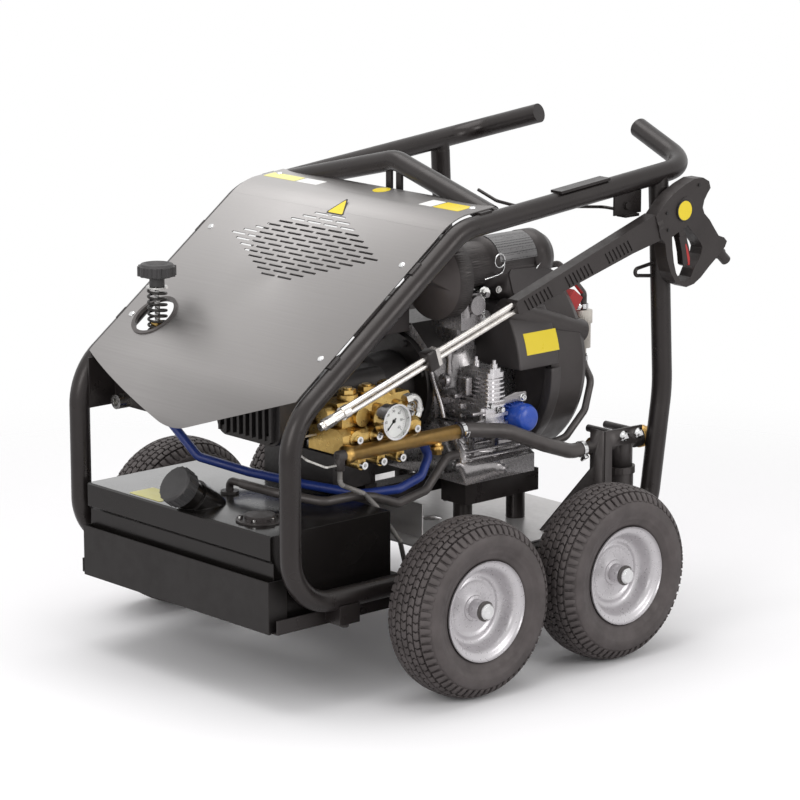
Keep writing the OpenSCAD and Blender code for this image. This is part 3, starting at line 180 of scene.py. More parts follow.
# stretches what lies between fromLow and fromHigh to low and high
def spread(tree, value, low, high, fromLow=0.3, fromHigh=0.7):
    return addNode(tree, "ShaderNodeMapRange", {
        "Value": value, "From Min": fromLow, "From Max": fromHigh, "To Min": low, "To Max": high}).outputs[0]


def mixColour(tree, factor, one, two):
    inputs = {0: factor}
    for key, tone in ((6, one), (7, two)):
        inputs[key] = (*tone, 1) if isinstance(tone, tuple) else tone
    return addNode(tree, "ShaderNodeMix", inputs, data_type="RGBA").outputs[2]


# heights are (socket, distance) pairs, coarse first, and edge rounds the shading of sharp corners
def setBump(tree, shader, heights, edge=0.0):
    normal = addNode(tree, "ShaderNodeBevel", {"Radius": edge}, samples=4).outputs[0] if edge else None
    for height, distance in heights:
        inputs = {"Height": height, "Distance": distance, "Strength": 1.0}
        if normal:
            inputs["Normal"] = normal
        normal = addNode(tree, "ShaderNodeBump", inputs).outputs[0]
    tree.links.new(normal, shader.inputs["Normal"])


# the scale and detail of each noise, what patches add to the roughness, and the haze that dust adds
texture = {
    "paint": {"clouds": (9, 4), "patches": (38, 5), "rough": (-0.05, 0.07), "haze": 0.004, "fine": (420, 2)},
    "cast": {"clouds": (60, 5), "patches": (150, 4), "rough": (-0.05, 0.07), "lumps": (140, 3)},
    "turned": {"clouds": (35, 4), "patches": (90, 5), "rough": (-0.08, 0.14), "fine": (1600, 2)},
    "moulded": {"clouds": (14, 4), "patches": (55, 4), "rough": (-0.06, 0.1), "haze": 0.003, "cells": 1100.0},
    "rubber": {"clouds": (22, 6), "patches": (70, 4), "rough": (-0.08, 0.12), "haze": 0.006,
               "fine": (700, 3)},
}


def dusty(kind, colour, dust):
    return tuple(min(1, c * (1 + dust) + texture[kind]["haze"]) for c in colour)


# clouds of a second colour
def setTone(tree, shader, kind, colour, second):
    tone = mixColour(tree, spread(tree, noise(tree, *texture[kind]["clouds"]), 0, 1), colour, second)
    tree.links.new(tone, shader.inputs["Base Color"])


# patches of smoother and rougher surface
def setPatches(tree, shader, kind, rough):
    low, high = texture[kind]["rough"]
    patches = spread(tree, noise(tree, *texture[kind]["patches"]), rough + low, rough + high)
    tree.links.new(patches, shader.inputs["Roughness"])


def paint(name, colour, rough, peel=0.00002, edge=0.0012, dust=0.25, specular=0.5):
    mat, tree, shader = newFinish(name, colour, 0, rough, specular)
    setTone(tree, shader, "paint", colour, dusty("paint", colour, dust))
    setPatches(tree, shader, "paint", rough)
    setBump(tree, shader, [(noise(tree, *texture["paint"]["fine"]), peel * 4)], edge)
    return mat


# dark is the colour of the mottle; the last argument sets how much painted shade darkens the corners that
# ambient occlusion finds
def castMetal(name, colour, dark, rough, metallic, grain=0.00012, scale=900, edge=0.0012, cornerShade=1.0):
    mat, tree, shader = newFinish(name, colour, metallic, rough)
    mottle = noise(tree, *texture["cast"]["clouds"], rough=0.6)
    tone = mixColour(tree, spread(tree, mottle, 0, 0.55), colour, dark)
    if cornerShade:
        # painted shade: the tone turns to a darker copy of the mottle where ambient occlusion finds nearby
        # surfaces
        near = addNode(tree, "ShaderNodeAmbientOcclusion", {"Distance": 0.012}, samples=4).outputs["AO"]
        corners = spread(tree, near, 1.0, 0.0, 0.25, 0.85)
        tone = mixColour(tree, spread(tree, corners, 0, cornerShade), tone, tuple(c * 0.35 for c in dark))
    tree.links.new(tone, shader.inputs["Base Color"])
    setPatches(tree, shader, "cast", rough)
    lumps = noise(tree, *texture["cast"]["lumps"])
    setBump(tree, shader, [(lumps, grain * 2), (noise(tree, scale, 2), grain)], edge)
    return mat


# smooth cast or rolled metal, with no painted shade in its corners
def cleanMetal(name, colour, dark, rough, metallic, grain=0.00001, edge=0.0):
    return castMetal(name, colour, dark, rough, metallic, grain, 300, edge, 0.0)


def turnedMetal(name, colour, rough=0.22, scratch=0.00001, edge=0.0006):
    mat, tree, shader = newFinish(name, colour, 1.0, rough)
    setTone(tree, shader, "turned", colour, tuple(c * 0.72 for c in colour))
    setPatches(tree, shader, "turned", rough)
    setBump(tree, shader, [(noise(tree, *texture["turned"]["fine"]), scratch)], edge)
    return mat


def mouldedPlastic(name, colour, rough=0.5, grain=0.00006, edge=0.0014, dust=0.35):
    mat, tree, shader = newFinish(name, colour, 0, rough)
    setTone(tree, shader, "moulded", colour, dusty("moulded", colour, dust))
    setPatches(tree, shader, "moulded", rough)
    cells = addNode(tree, "ShaderNodeTexVoronoi", {
        "Vector": place(tree), "Scale": texture["moulded"]["cells"]}, feature="F1")
    setBump(tree, shader, [(cells.outputs["Distance"], grain)], edge)
    return mat


def rubberFinish(name, colour, rough=0.62, grain=0.00008, dust=0.5):
    mat, tree, shader = newFinish(name, colour, 0, rough)
    setTone(tree, shader, "rubber", colour, dusty("rubber", colour, dust))
    setPatches(tree, shader, "rubber", rough)
    setBump(tree, shader, [(noise(tree, *texture["rubber"]["fine"]), grain)])
    return mat


brushed = {
    "streaks": (260, 4, (0.02, 1, 1), 0.6),     # drawn out along x
    "streakTones": ((0.375, 0.36, 0.354), (0.345, 0.33, 0.325)),
    "clouds": (3.5, 3),
    "cloudTone": (0.30, 0.288, 0.284),
    "paler": (0.66, 0.86),                      # heights between which painted light makes the sheet paler
    "paintedLightTone": (0.50, 0.482, 0.474),
    "darker": (-0.12, 0.36),                    # and where painted shade darkens it towards the machine's right
    "paintedShadeTone": (0.165, 0.157, 0.153),
    "rough": (0.36, 0.43),
    "dents": 0.0009,
    "scratches": 0.000012,
}


def brushedSheet():
    mat, tree, shader = newFinish("brushedSheet", (0.34, 0.325, 0.32), 1.0, 0.38)
    shader.inputs["Anisotropic"].default_value = 0.3
    streaks = noise(tree, *brushed["streaks"])
    clouds = noise(tree, *brushed["clouds"])
    tone = mixColour(tree, spread(tree, streaks, 0, 1), *brushed["streakTones"])
    tone = mixColour(tree, spread(tree, clouds, 0, 0.5), tone, brushed["cloudTone"])
    here = addNode(tree, "ShaderNodeSeparateXYZ", {0: place(tree)}).outputs
    # painted light and shade: paler towards the top of the sheet, darker towards the machine's right
    tone = mixColour(tree, spread(tree, here["Z"], 0, 1, *brushed["paler"]), tone, brushed["paintedLightTone"])
    tone = mixColour(tree, spread(tree, here["X"], 0, 1, *brushed["darker"]), tone, brushed["paintedShadeTone"])
    tree.links.new(tone, shader.inputs["Base Color"])
    tree.links.new(spread(tree, streaks, *brushed["rough"]), shader.inputs["Roughness"])
    setBump(tree, shader, [(clouds, brushed["dents"]), (streaks, brushed["scratches"])], 0.0008)
    return mat


perforated = {
    "pitch": 260.0,             # dots to a metre, roughly
    "loose": 0.15,              # how far they stray from an even grid
    "rim": (0.30, 0.36),        # share of the pitch where a dot ends
    "hole": (0.02, 0.019, 0.019),
    "metal": (0.20, 0.195, 0.195),
    "depth": 0.0004,
}


def perforatedSheet():
    mat, tree, shader = newFinish("perforatedGrey", (0.16, 0.155, 0.155), 0.3, 0.45)
    dots = addNode(tree, "ShaderNodeTexVoronoi", {
        "Vector": place(tree), "Scale": perforated["pitch"], "Randomness": perforated["loose"]}, feature="F1")
    solid = spread(tree, dots.outputs["Distance"], 0, 1, *perforated["rim"])
    tone = mixColour(tree, solid, perforated["hole"], perforated["metal"])
    tree.links.new(tone, shader.inputs["Base Color"])
    setBump(tree, shader, [(solid, perforated["depth"])])
    return mat


tankGloss = {
    "left": (-0.16, 0.16),      # the top shines up to the first x, and is dull from the second
    "patches": (9, 4),
    "rough": (0.17, 0.3),
    "waves": (6, 2),
    "waveHigh": 0.0006,
    "peel": (420, 2),
    "peelHigh": 0.00003,
}


def glossTank():
    mat, tree, shader = newFinish("tankBlack", (0.0078, 0.0068, 0.0064), 0, 0.2, 0.30)
    face = addNode(tree, "ShaderNodeNewGeometry")
    upward = addNode(tree, "ShaderNodeSeparateXYZ", {0: face.outputs["Normal"]}).outputs["Z"]
    across = addNode(tree, "ShaderNodeSeparateXYZ", {0: place(tree)}).outputs["X"]
    coat = mathNode(tree, "MULTIPLY", upward, spread(tree, across, 1.0, 0.0, *tankGloss["left"]), clamp=True)
    tree.links.new(coat, shader.inputs["Coat Weight"])
    patches = noise(tree, *tankGloss["patches"])
    tree.links.new(spread(tree, patches, *tankGloss["rough"]), shader.inputs["Roughness"])
    waves = noise(tree, *tankGloss["waves"])
    peel = noise(tree, *tankGloss["peel"])
    setBump(tree, shader, [(waves, tankGloss["waveHigh"]), (peel, tankGloss["peelHigh"])], 0.002)
    return mat


def clearGlass():
    mat, tree, shader = newFinish("clearGlass", (1, 1, 1), 0, 0.03)
    shader.inputs["Transmission Weight"].default_value = 1.0
    shader.inputs["IOR"].default_value = 1.05
    return mat


finishes = {
    "frame": paint("frameBlack", (0.0110, 0.0088, 0.0085), 0.30, 0.00003, specular=0.42),
    "guard": paint("guardBlack", (0.0060, 0.0050, 0.0048), 0.48, 0.00002, 0.0015, specular=0.36),
    "cover": paint("coverGrey", (0.040, 0.036, 0.036), 0.4, 0.00002, 0.002),
    # painted light: a paler copy of the cleaner's dark plastic, for the end face that the lamps leave in
    # shade
    "lid": paint("litLidGrey", (0.09, 0.078, 0.076), 0.42, 0.00002, 0.002),
    "blue": paint("filterBlue", (0.020, 0.075, 0.42), 0.28, 0.00001, 0.001, 0.1),
    "tank": glossTank(),
    "panel": brushedSheet(),
    "mesh": perforatedSheet(),
    "glass": clearGlass(),
    "rim": cleanMetal("rimGrey", (0.56, 0.54, 0.555), (0.50, 0.482, 0.495), 0.30, 0.5, 0.000004),
    "base": cleanMetal("baseSteel", (0.66, 0.64, 0.635), (0.56, 0.54, 0.535), 0.34, 0.6, edge=0.0006),
    "alu": cleanMetal("castAluminium", (0.76, 0.74, 0.75), (0.62, 0.60, 0.61), 0.27, 0.85),
    "darkAlu": cleanMetal("greyCasting", (0.36, 0.342, 0.345), (0.25, 0.238, 0.240), 0.27, 0.8),
    # these three castings keep castMetal's painted shade in their corners
    "castBlack": castMetal("blackCasting", (0.022, 0.02, 0.02), (0.012, 0.011, 0.011), 0.42, 0.0),
    "brass": castMetal("castBrass", (0.80, 0.56, 0.20), (0.52, 0.31, 0.085), 0.30, 1.0, 0.00012, 700),
    "brassRail": castMetal("turnedBrass", (0.68, 0.43, 0.14), (0.48, 0.28, 0.085), 0.34, 1.0, 0.00006, 500),
    "zinc": turnedMetal("zincPlate", (0.72, 0.71, 0.69), 0.24),
    "chrome": turnedMetal("brightChrome", (0.82, 0.82, 0.82), 0.14),
    "lanceTube": turnedMetal("lanceSteel", (0.80, 0.765, 0.73), 0.24, 0.0000004, 0.0),
    "spring": turnedMetal("springSteel", (0.05, 0.047, 0.045), 0.35),
    "plastic": mouldedPlastic("blackPlastic", (0.030, 0.026, 0.0255), 0.40),
    "knob": mouldedPlastic("knobPlastic", (0.026, 0.026, 0.027), 0.5),
    "gun": mouldedPlastic("gunPlastic", (0.0165, 0.0135, 0.0130), 0.42, 0.0001),
    "milk": mouldedPlastic("milkPlastic", (0.62, 0.58, 0.52), 0.35, 0.00002, 0.001, 0.05),
    "red": mouldedPlastic("redRubber", (0.42, 0.03, 0.03), 0.45, 0.00005, 0.001, 0.1),
    "white": mouldedPlastic("dialWhite", (0.80, 0.80, 0.78), 0.5, 0.000005, 0, 0.02),
    "black": mouldedPlastic("dialBlack", (0.01, 0.01, 0.01), 0.5, 0.00001, 0, 0.1),
    "yellow": mouldedPlastic("stickerYellow", (0.80, 0.62, 0.03), 0.32, 0.00001, 0, 0.02),
    "paleYellow": mouldedPlastic("stickerPale", (0.82, 0.76, 0.25), 0.32, 0.00001, 0, 0.02),
    "tyre": rubberFinish("tyreRubber", (0.050, 0.0425, 0.0420), 0.60, 0.00012),
    "hose": rubberFinish("hoseRubber", (0.050, 0.0445, 0.0430), 0.38),
    "greyHose": rubberFinish("greyTube", (0.20, 0.19, 0.18), 0.35, 0.00002),
    "wire": rubberFinish("whiteTube", (0.62, 0.60, 0.57), 0.35, 0.00002),
    "blueHose": rubberFinish("blueRubber", (0.012, 0.035, 0.20), 0.36, 0.00005, 0.15),
}

wheels = ("front_right", "front_left", "rear_right", "rear_left")
finishNodes = {
    "frame": ["side_frame_right", "side_frame_left", "lift_bar", "chassis_rails", "axle_saddles",
              "outlet_bracket", "engine_stand", "gun_brackets"],
    "base": ["base_plate"],
    "panel": ["front_panel"],
    "tank": ["fuel_tank"],
    "guard": ["tank_guard"],
    "rim": ["rim_" + wheel for wheel in wheels],
    "tyre": ["tyre_" + wheel for wheel in wheels],
    "chrome": ["axle_caps", "panel_screws", "pump_bolts", "gauge_case"],
    "zinc": ["axles", "regulator_stem", "outlet_fitting"],
    "hose": ["panel_grommet", "suction_hose", "bypass_hose", "fuel_hose"],
    "blueHose": ["blue_hose"],
    "greyHose": ["drain_hose"],
    "knob": ["fuel_cap", "regulator_knob"],
    "plastic": ["tank_fittings", "blower_housing", "air_cleaner", "muffler", "water_filter", "filter_bowl"],
    "castBlack": ["pump_crankcase", "coupling_housing"],
    "brass": ["pump_head", "valve_caps", "regulator_body"],
    "brassRail": ["inlet_rail"],
    "spring": ["regulator_spring"],
    "white": ["gauge_dial"],
    "black": ["gauge_needle"],
    "glass": ["gauge_glass"],
    "darkAlu": ["engine_block", "carburettor"],
    "alu": ["engine_cylinders"],
    "blue": ["oil_filter"],
    "milk": ["breather_bottle"],
    "gun": ["gun_body", "gun_trigger", "lance_shroud"],
    "lanceTube": ["lance"],
}
for finish, nodes in finishNodes.items():
    for name in nodes:
        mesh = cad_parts[name].data
        if not mesh.materials:
            mesh.materials.append(finishes[finish])
        for k in range(len(mesh.materials)):
            mesh.materials[k] = finishes[finish]
print("finishes set on", sum(len(nodes) for nodes in finishNodes.values()), "nodes")


# smooth faces with sharp edges past an angle in degrees
def smoothMesh(mesh, angle=35):
    mesh.polygons.foreach_set("use_smooth", [True] * len(mesh.polygons))
    mesh.set_sharp_from_angle(angle=math.radians(angle))
    mesh.update()


def newPiece(name, mesh, body, finish, angle=35):
    obj = bpy.data.objects.new(name, mesh)
    scene.collection.objects.link(obj)
    mesh.materials.clear()
    mesh.materials.append(finishes[finish])
    smoothMesh(mesh, angle)
    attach(obj, body)
    return obj


def plainMesh(obj):
    made = bpy.data.meshes.new_from_object(obj.evaluated_get(bpy.context.evaluated_depsgraph_get()))
    bpy.data.objects.remove(obj)
    return made


def meshFrom(name, points, faces):
    mesh = bpy.data.meshes.new(name)
    mesh.from_pydata([tuple(p) for p in points], [], faces)
    net = bmesh.new()
    net.from_mesh(mesh)
    bmesh.ops.remove_doubles(net, verts=net.verts, dist=1e-7)
    bmesh.ops.recalc_face_normals(net, faces=net.faces)
    net.to_mesh(mesh)
    net.free()
    return mesh


def joined(name, meshes):
    net = bmesh.new()
    for mesh in meshes:
        net.from_mesh(mesh)
    made = bpy.data.meshes.new(name)
    net.to_mesh(made)
    net.free()
    return made


# points on a circle at angles in degrees
def arc(centre, radius, angles):
    return [(centre[0] + radius * math.cos(math.radians(a)), centre[1] + radius * math.sin(math.radians(a)))
            for a in angles]


# a Catmull-Rom curve through the points, sampled about every step
def smoothPath(points, step=0.004):
    points = [Vector(p) for p in points]
    full = [points[0] * 2 - points[1]] + points + [points[-1] * 2 - points[-2]]
    path = []
    for a, b, c, d in zip(full, full[1:], full[2:], full[3:]):
        count = max(2, int((c - b).length / step))
        for k in range(count):
            t = k / count
            bend = (2 * a - 5 * b + 4 * c - d) * t * t + (3 * b - a - 3 * c + d) * t ** 3
            path.append(0.5 * (2 * b + (c - a) * t + bend))
    return path + [points[-1]]


# rings along a path, each turned as little as possible from the one before
def tubeMesh(name, path, radius, sides=20):
    path = [Vector(p) for p in path]
    last = len(path) - 1
    points = []
    side = (path[1] - path[0]).normalized().orthogonal().normalized()
    for k, point in enumerate(path):
        ahead = (path[min(k + 1, last)] - path[max(k - 1, 0)]).normalized()
        side = (side - ahead * side.dot(ahead)).normalized()
        other = ahead.cross(side)
        for s in range(sides):
            a = 2 * math.pi * s / sides
            points.append(point + (side * math.cos(a) + other * math.sin(a)) * radius)
    faces = []
    for k in range(last):
        for s in range(sides):
            a, b = k * sides + s, k * sides + (s + 1) % sides
            faces.append((a, b, b + sides, a + sides))
    faces.append(tuple(range(sides)))
    faces.append(tuple(reversed(range(last * sides, (last + 1) * sides))))
    return meshFrom(name, points, faces)


# a closed profile of (radius, along) points turned round an axis through at
def turnedMesh(name, profile, at, axis, steps=48):
    axis = Vector(axis).normalized()
    side = axis.orthogonal().normalized()
    other = axis.cross(side)
    points, faces, count = [], [], len(profile)
    for s in range(steps):
        a = 2 * math.pi * s / steps
        out = side * math.cos(a) + other * math.sin(a)
        points += [Vector(at) + out * r + axis * h for r, h in profile]
    for s in range(steps):
        n = (s + 1) % steps
        for k in range(count):
            m = (k + 1) % count
            onAxis = profile[k][0] == 0 and profile[m][0] == 0
            if not onAxis:
                faces.append((s * count + k, n * count + k, n * count + m, s * count + m))
    return meshFrom(name, points, faces)


# a plain cylinder between two heights along its axis
def pinMesh(name, radius, low, high, at, axis, steps=20):
    return turnedMesh(name, [(0.0, low), (radius, low), (radius, high), (0.0, high)], at, axis, steps)


# the outline with round corners
def rounded(corners, radius, steps=5):
    outline, count = [], len(corners)
    for k in range(count):
        before, here, after = (Vector(corners[(k + s) % count]) for s in (-1, 0, 1))
        one, two = (before - here).normalized(), (after - here).normalized()
        half = math.acos(max(-1, min(1, one.dot(two)))) / 2
        centre = here + (one + two).normalized() * (radius / math.sin(half))
        p = here + one * (radius / math.tan(half)) - centre
        q = here + two * (radius / math.tan(half)) - centre
        for s in range(steps + 1):
            t = s / steps
            outline.append(centre + (p * (1 - t) + q * t).normalized() * radius)
    return [tuple(p) for p in outline]


def rect(x0, x1, y0, y1):
    return [(x0, y0), (x1, y0), (x1, y1), (x0, y1)]


# a slab between two equal rings of points
def slabMesh(name, bottom, top):
    n = len(bottom)
    sides = [(k, n + k, n + (k + 1) % n, (k + 1) % n) for k in range(n)]
    return meshFrom(name, bottom + top, [tuple(range(n)), tuple(range(2 * n - 1, n - 1, -1))] + sides)


def softened(mesh, width, segments, angle=28):
    net = bmesh.new()
    net.from_mesh(mesh)
    edges = [e for e in net.edges if len(e.link_faces) == 2 and e.calc_face_angle(0) > math.radians(angle)]
    bmesh.ops.bevel(net, geom=edges, offset=width, segments=segments, profile=0.5, affect="EDGES",
                    clamp_overlap=True)
    net.to_mesh(mesh)
    net.free()
    return mesh


# an outline pulled from low to high along x, y or z, with its edges rounded by soft
def prismMesh(name, outline, along, low, high, soft, segments=2):
    order = {"x": (2, 0, 1), "y": (0, 2, 1), "z": (0, 1, 2)}[along]
    ends = [[tuple((u, v, depth)[n] for n in order) for u, v in outline] for depth in (low, high)]
    return softened(slabMesh(name, *ends), soft, segments)


def boxMesh(name, low, high, soft=0.001, segments=2):
    return prismMesh(name, rect(low[0], high[0], low[1], high[1]), "z", low[2], high[2], soft, segments)


# lays x, y and z along three directions from a point
def layMatrix(one, two, three, at):
    return Matrix((*zip(one, two, three, at), (0, 0, 0, 1)))


# a bolt on a washer, with a hexagon head or a round one with a socket, its head outward along axis
def boltMesh(at, axis, size=0.010, tall=0.006, hexagon=True):
    r = size / 2
    if hexagon:
        head = [(0.0, 0.0), (r, 0.0), (r, tall * 0.8), (r * 0.86, tall), (0.0, tall)]
    else:
        head = [(0.0, 0.0), (r, 0.0), (r, tall * 0.85), (r * 0.9, tall), (r * 0.5, tall),
                (r * 0.46, tall * 0.45), (0.0, tall * 0.45)]
    return joined("bolt", [turnedMesh("head", head, at, axis, 6 if hexagon else 20),
                           pinMesh("washer", r * 1.35, -0.0008, 0.0006, at, axis)])


# a Geometry Nodes tree with a mesh in and out and the named inputs in kinds
def newNodes(name, kinds):
    group = bpy.data.node_groups.new(name, "GeometryNodeTree")
    group.interface.new_socket("Geometry", in_out="INPUT", socket_type="NodeSocketGeometry")
    for label, kind in kinds.items():
        group.interface.new_socket(label, in_out="INPUT", socket_type="NodeSocket" + kind)
    group.interface.new_socket("Finish", in_out="INPUT", socket_type="NodeSocketMaterial")
    group.interface.new_socket("Geometry", in_out="OUTPUT", socket_type="NodeSocketGeometry")
    return group, group.nodes.new("NodeGroupInput").outputs


# copies the incoming mesh to the points, turns each copy, and lays the whole at Centre
def copyNodes(group, start, points, rotation, turn=(0, 0, 0)):
    copies = addNode(group, "GeometryNodeInstanceOnPoints", {
        "Points": points, "Instance": start["Geometry"], "Rotation": rotation.outputs[0]})
    moved = addNode(group, "GeometryNodeTransform", {
        "Geometry": copies.outputs[0], "Translation": start["Centre"], "Rotation": turn})
    endNodes(group, start, moved.outputs[0])


def endNodes(group, start, geometry):
    real = addNode(group, "GeometryNodeRealizeInstances", {"Geometry": geometry})
    dressed = addNode(group, "GeometryNodeSetMaterial", {
        "Geometry": real.outputs[0], "Material": start["Finish"]})
    end = group.nodes.new("NodeGroupOutput")
    group.links.new(dressed.outputs[0], end.inputs[0])


# runs the tree on a mesh and keeps the result as a plain mesh that rides on body
def runNodes(name, mesh, group, values, body, finish, angle=35):
    obj = bpy.data.objects.new(name + "Source", mesh)
    scene.collection.objects.link(obj)
    modifier = obj.modifiers.new("nodes", "NODES")
    modifier.node_group = group
    values = dict(values, Finish=finishes[finish])
    for item in group.interface.items_tree:
        if item.item_type == "SOCKET" and item.in_out == "INPUT" and item.name in values:
            modifier[item.identifier] = values[item.name]
    made = plainMesh(obj)
    made.name = name
    return newPiece(name, made, body, finish, angle)


# copies fanned round the x axis, the first at First and each one Step further
fan, start = newNodes("fan", {"Count": "Int", "First": "Float", "Step": "Float", "Centre": "Vector"})
line = addNode(fan, "GeometryNodeMeshLine", {"Count": start["Count"], "Offset": (0, 0, 0)})
index = addNode(fan, "GeometryNodeInputIndex")
angle = mathNode(fan, "MULTIPLY_ADD", index.outputs[0], start["Step"], start["First"])
copyNodes(fan, start, line.outputs[0], addNode(fan, "ShaderNodeCombineXYZ", {"X": angle}))

# copies on a circle of Radius round the z axis, and the circle turned by Turn
ring, start = newNodes("ring", {"Count": "Int", "Radius": "Float", "Centre": "Vector", "Turn": "Vector"})
circle = addNode(ring, "GeometryNodeMeshCircle", {"Vertices": start["Count"], "Radius": start["Radius"]})
index = addNode(ring, "GeometryNodeInputIndex")
share = mathNode(ring, "DIVIDE", 2 * math.pi, start["Count"])
angle = mathNode(ring, "MULTIPLY", index.outputs[0], share)
copyNodes(ring, start, circle.outputs[0], addNode(ring, "ShaderNodeCombineXYZ", {"Z": angle}), start["Turn"])

# a round wire wound upwards from Foot
coil, start = newNodes("coil", {
    "Turns": "Float", "Radius": "Float", "Wire": "Float", "Height": "Float", "Foot": "Vector"})
spiral = addNode(coil, "GeometryNodeCurveSpiral", {
    "Resolution": 36, "Rotations": start["Turns"], "Start Radius": start["Radius"],
    "End Radius": start["Radius"], "Height": start["Height"]})
wire = addNode(coil, "GeometryNodeCurvePrimitiveCircle", {"Resolution": 14, "Radius": start["Wire"]})
wound = addNode(coil, "GeometryNodeCurveToMesh", {
    "Curve": spiral.outputs[0], "Profile Curve": wire.outputs[0], "Fill Caps": True})
moved = addNode(coil, "GeometryNodeTransform", {"Geometry": wound.outputs[0], "Translation": start["Foot"]})
endNodes(coil, start, moved.outputs[0])

tyre = {
    "outer": 0.163,             # radius over the tread
    "wide": 0.121,              # radius where the wall is widest
    "half": 0.057,              # half of the width there
    "bead": 0.0935,             # radius where the wall meets the rim
    "beadAt": 0.045,            # how far out the bead sits
    "shape": 0.8,               # 1 gives an elliptic section, less a squarer one
    "tread": 0.0054,            # depth
    "pitches": 62,
    "blockGap": 0.0016,
    "rowGap": 0.7,              # next to a row, in block gaps
    "endGap": 0.9,              # at a block's end
    "lugGap": 1.5,              # at a lug's end
    "round": 0.0011,            # rounding of the blocks' top edges
    "sunk": 0.002,              # how far a block reaches into the carcass
    "rows": (-0.040, -0.0275, -0.0145, 0.0, 0.0145, 0.0275, 0.040),     # between the rows, from the crown
    "wave": 0.22,               # bend of a block's ends, in pitches
    "outerWave": 0.6,           # share of it in the outermost rows
    "lug": (0.042, 0.053, 0.062),
    "lugTaper": 0.72,
    "treadEnd": 0.054,          # from here the grooves fade out
    "fadeOver": 0.0115,
    "crownEnd": 0.0655,
    "crownSteps": 44,
    "wallSteps": 14,
    "wallRib": 0.0009,
    "ribSteps": (9, 10),
    "wallShape": 0.9,
    "bore": [(0.0924, 0.0425), (0.0885, 0.0409), (0.0860, 0.0402), (0.0815, 0.0393), (0.0782, 0.0376),
             (0.07725, 0.0345), (0.07725, 0.030), (0.084, 0.034), (0.118, 0.049), (0.143, 0.040),
             (0.151, 0.02)],
    "crownInside": 0.152,
    "samples": 720,
    "steps": 120,
}


# across and radius of the outer surface; a is 90 degrees at the crown and 0 at the widest point
def tyreCurve(a):
    c, s = math.cos(math.radians(a)), math.sin(math.radians(a))
    across = tyre["half"] * math.copysign(abs(c) ** tyre["shape"], c)
    return across, tyre["wide"] + (tyre["outer"] - tyre["wide"]) * max(0.0, s) ** tyre["shape"]


tyreTable = []          # arc length from the crown, across, radius
length, last = 0.0, tyreCurve(90)
for k in range(tyre["samples"] + 1):
    point = tyreCurve(90 - k * 90 / tyre["samples"])
    length += math.hypot(point[0] - last[0], point[1] - last[1])
    tyreTable.append((length, *point))
    last = point


# across and radius at an arc length from the crown, height above the surface
def treadPoint(along, height, reach=12):
    size = abs(along)
    top = len(tyreTable) - 1
    k = next((n for n, row in enumerate(tyreTable) if row[0] >= size), top)
    low, high = tyreTable[max(0, k - 1)], tyreTable[k]
    t = 0 if high[0] == low[0] else (size - low[0]) / (high[0] - low[0])
    across, radius = low[1] + (high[1] - low[1]) * t, low[2] + (high[2] - low[2]) * t
    before, after = tyreTable[max(0, k - reach)], tyreTable[min(top, k + reach)]
    run, drop = after[1] - before[1], after[2] - before[2]
    slant = math.hypot(run, drop) or 1
    sign = 1 if along >= 0 else -1
    return sign * (across - drop / slant * height), radius + run / slant * height


# one block: outline in arc length and angle (radians), with a rounded top edge
def treadBlock(points, faces, outline):
    middle = (sum(p[0] for p in outline) / len(outline), sum(p[1] for p in outline) / len(outline))
    foot = -tyre["tread"] - tyre["sunk"]
    levels = [(1.0, foot), (1.0, -tyre["round"]), (0.95, -tyre["round"] * 0.25), (0.86, 0.0)]
    first, n = len(points), len(outline)
    for scale, height in levels:
        for u, angle in outline:
            along, turn = middle[0] + (u - middle[0]) * scale, middle[1] + (angle - middle[1]) * scale
            across, radius = treadPoint(along, height)
            points.append((across, -radius * math.sin(turn), radius * math.cos(turn)))
    for level in range(len(levels) - 1):
        for k in range(n):
            a, b = first + level * n + k, first + level * n + (k + 1) % n
            faces.append((a, b, b + n, a + n))
    faces.append(tuple(first + (len(levels) - 1) * n + k for k in range(n)))
    faces.append(tuple(first + n - 1 - k for k in range(n)))


# all blocks of one pitch: interlocking waves across the crown and a tapered lug on each shoulder
def treadUnit():
    points, faces = [], []
    step = 2 * math.pi / tyre["pitches"]
    gap, rows = tyre["blockGap"], tyre["rows"]
    half = step / 2 - gap / tyre["outer"] * tyre["endGap"]
    for k in range(len(rows) - 1):
        u0, u1 = rows[k] + gap * tyre["rowGap"], rows[k + 1] - gap * tyre["rowGap"]
        mid = (u0 + u1) / 2
        shift = 0.5 * step if k % 2 else 0.0
        bend = tyre["wave"] * step * (1 if k % 2 else -1)
        if k in (0, len(rows) - 2):
            bend *= tyre["outerWave"]
        treadBlock(points, faces, [(u0, shift - half), (mid, shift - half + bend), (u1, shift - half),
                                   (u1, shift + half), (mid, shift + half + bend), (u0, shift + half)])
    half = step / 2 - gap / tyre["outer"] * tyre["lugGap"]
    u0, u1, u2 = tyre["lug"]
    tip = half * tyre["lugTaper"]
    lug = [(u0, -half), (u1, -half), (u2, -tip), (u2, tip), (u1, half), (u0, half)]
    treadBlock(points, faces, [(-u, a) for u, a in lug[::-1]])
    treadBlock(points, faces, lug)
    return meshFrom("treadUnit", points, faces)


